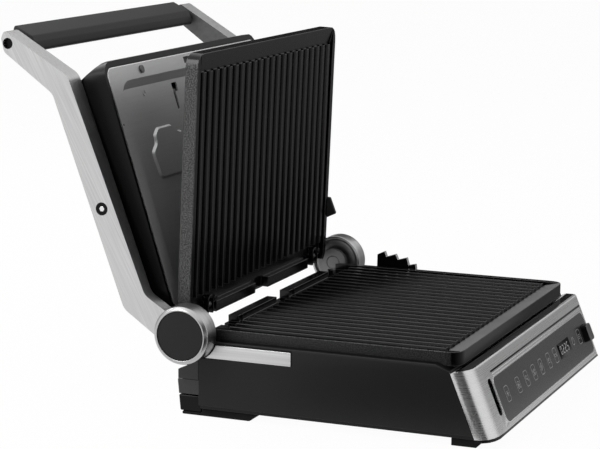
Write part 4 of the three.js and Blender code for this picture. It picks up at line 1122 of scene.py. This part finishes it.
floor_half = 30.0
glow_share = 0.965
work = bmesh.new()
bmesh.ops.create_grid(work, x_segments=1, y_segments=1, size=floor_half)
floor_finish = bpy.data.materials.new("white_floor")
floor_finish.use_nodes = True
tree = floor_finish.node_tree
tree.nodes.clear()
matt = Wire.node(tree, "BsdfDiffuse", {}, {"Color": grey(250)})
glow = Wire.node(tree, "Emission", {}, {"Color": (1, 1, 1, 1), "Strength": 1.0})
both = Wire.node(tree, "MixShader", {}, {0: seen_directly(tree) * glow_share, 1: matt, 2: glow})
tree.links.new(both.socket, tree.nodes.new("ShaderNodeOutputMaterial").inputs["Surface"])
staged("studio_floor", work, floor_finish)
print("floor", floor_half * 2, "m across")

# %% [markdown]
# In an all-white room metal looks like paper. Photographers put dark cards where only the metal sees them,
# and their reflections draw the darker bands on drums, arms and panel. Two stand at the right, one beside
# the camera, and two lie on the table. They are hidden from the camera and give no shadow and no light:
# only mirrored rays meet them.

# %% Dark cards for the reflections
def dark_card(name, place, aim, width, height, level):
    finish = bpy.data.materials.new(name + "_grey")
    finish.use_nodes = True
    tree = finish.node_tree
    tree.nodes.clear()
    dim = Wire.node(tree, "Emission", {}, {"Color": grey(level), "Strength": 1.0})
    tree.links.new(dim.socket, tree.nodes.new("ShaderNodeOutputMaterial").inputs["Surface"])
    work = bmesh.new()
    bmesh.ops.create_grid(work, x_segments=1, y_segments=1, size=0.5)
    bmesh.ops.scale(work, vec=(width, height, 1), verts=work.verts)
    turn = (Vector(aim) - Vector(place)).to_track_quat("Z", "Y").to_matrix().to_4x4()
    bmesh.ops.transform(work, matrix=Matrix.Translation(place) @ turn, verts=work.verts)
    card = staged(name, work, finish)
    card.visible_camera = card.visible_diffuse = card.visible_shadow = card.visible_transmission = False


cards = (("right_card", (2.0, -0.9, 0.32), (0, -0.9, 0.32), 2.4, 0.64, 160),
         ("rear_card", (2.0, 0.84, 0.78), (0, 0, 0.3), 2.1, 1.1, 36),
         ("camera_card", (-1.2, -1.4, 0.6), (0, -0.2, 0.1), 2.4, 1.1, 46),
         ("table_card", (1.12, -0.7, 0.004), (1.12, -0.7, 1), 1.7, 1.6, 128),
         ("left_card", (-0.56, -0.29, 0.004), (-0.56, -0.29, 1), 0.72, 0.56, 8))
for card in cards:
    dark_card(*card)
print("dark cards:", len(cards))

# %% [markdown]
# The room's own light is even and soft, and two large lamps give the forms their shape: a broad one high at
# the left of the camera and a long one behind the lid.

# %% World and lamps
room_level = 0.34
world = bpy.data.worlds.new("studio_room")
scene.world = world
world.use_nodes = True
tree = world.node_tree
room = tree.nodes["Background"]
room.inputs["Color"].default_value = (1, 1, 1, 1)
tree.links.new((room_level + seen_directly(tree) * (1 - room_level)).socket, room.inputs["Strength"])


def lamp(name, place, aim, width, height, watts):
    data = bpy.data.lights.new(name, "AREA")
    data.shape = "RECTANGLE"
    data.size, data.size_y, data.energy = width, height, watts
    made = bpy.data.objects.new(name, data)
    made.location = place
    made.rotation_euler = (Vector(aim) - Vector(place)).to_track_quat("-Z", "Y").to_euler()
    scene.collection.objects.link(made)


middle = (Vector(cad_box[0]) + Vector(cad_box[1])) / 2
lamp("key_lamp", (-1.2, 0.9, 1.5), middle, 1.2, 0.9, 22)
lamp("rear_lamp", (0.5, 1.4, 1.3), middle, 1.6, 0.6, 10)
print("lamps:", len(bpy.data.lights))

# %% [markdown]
# Dressing must not make the grill larger. The box of the imported model is written here in millimetres.

# %% The box of the imported model
print("packed box in mm:", [[in_mm(value) for value in corner] for corner in cad_box])
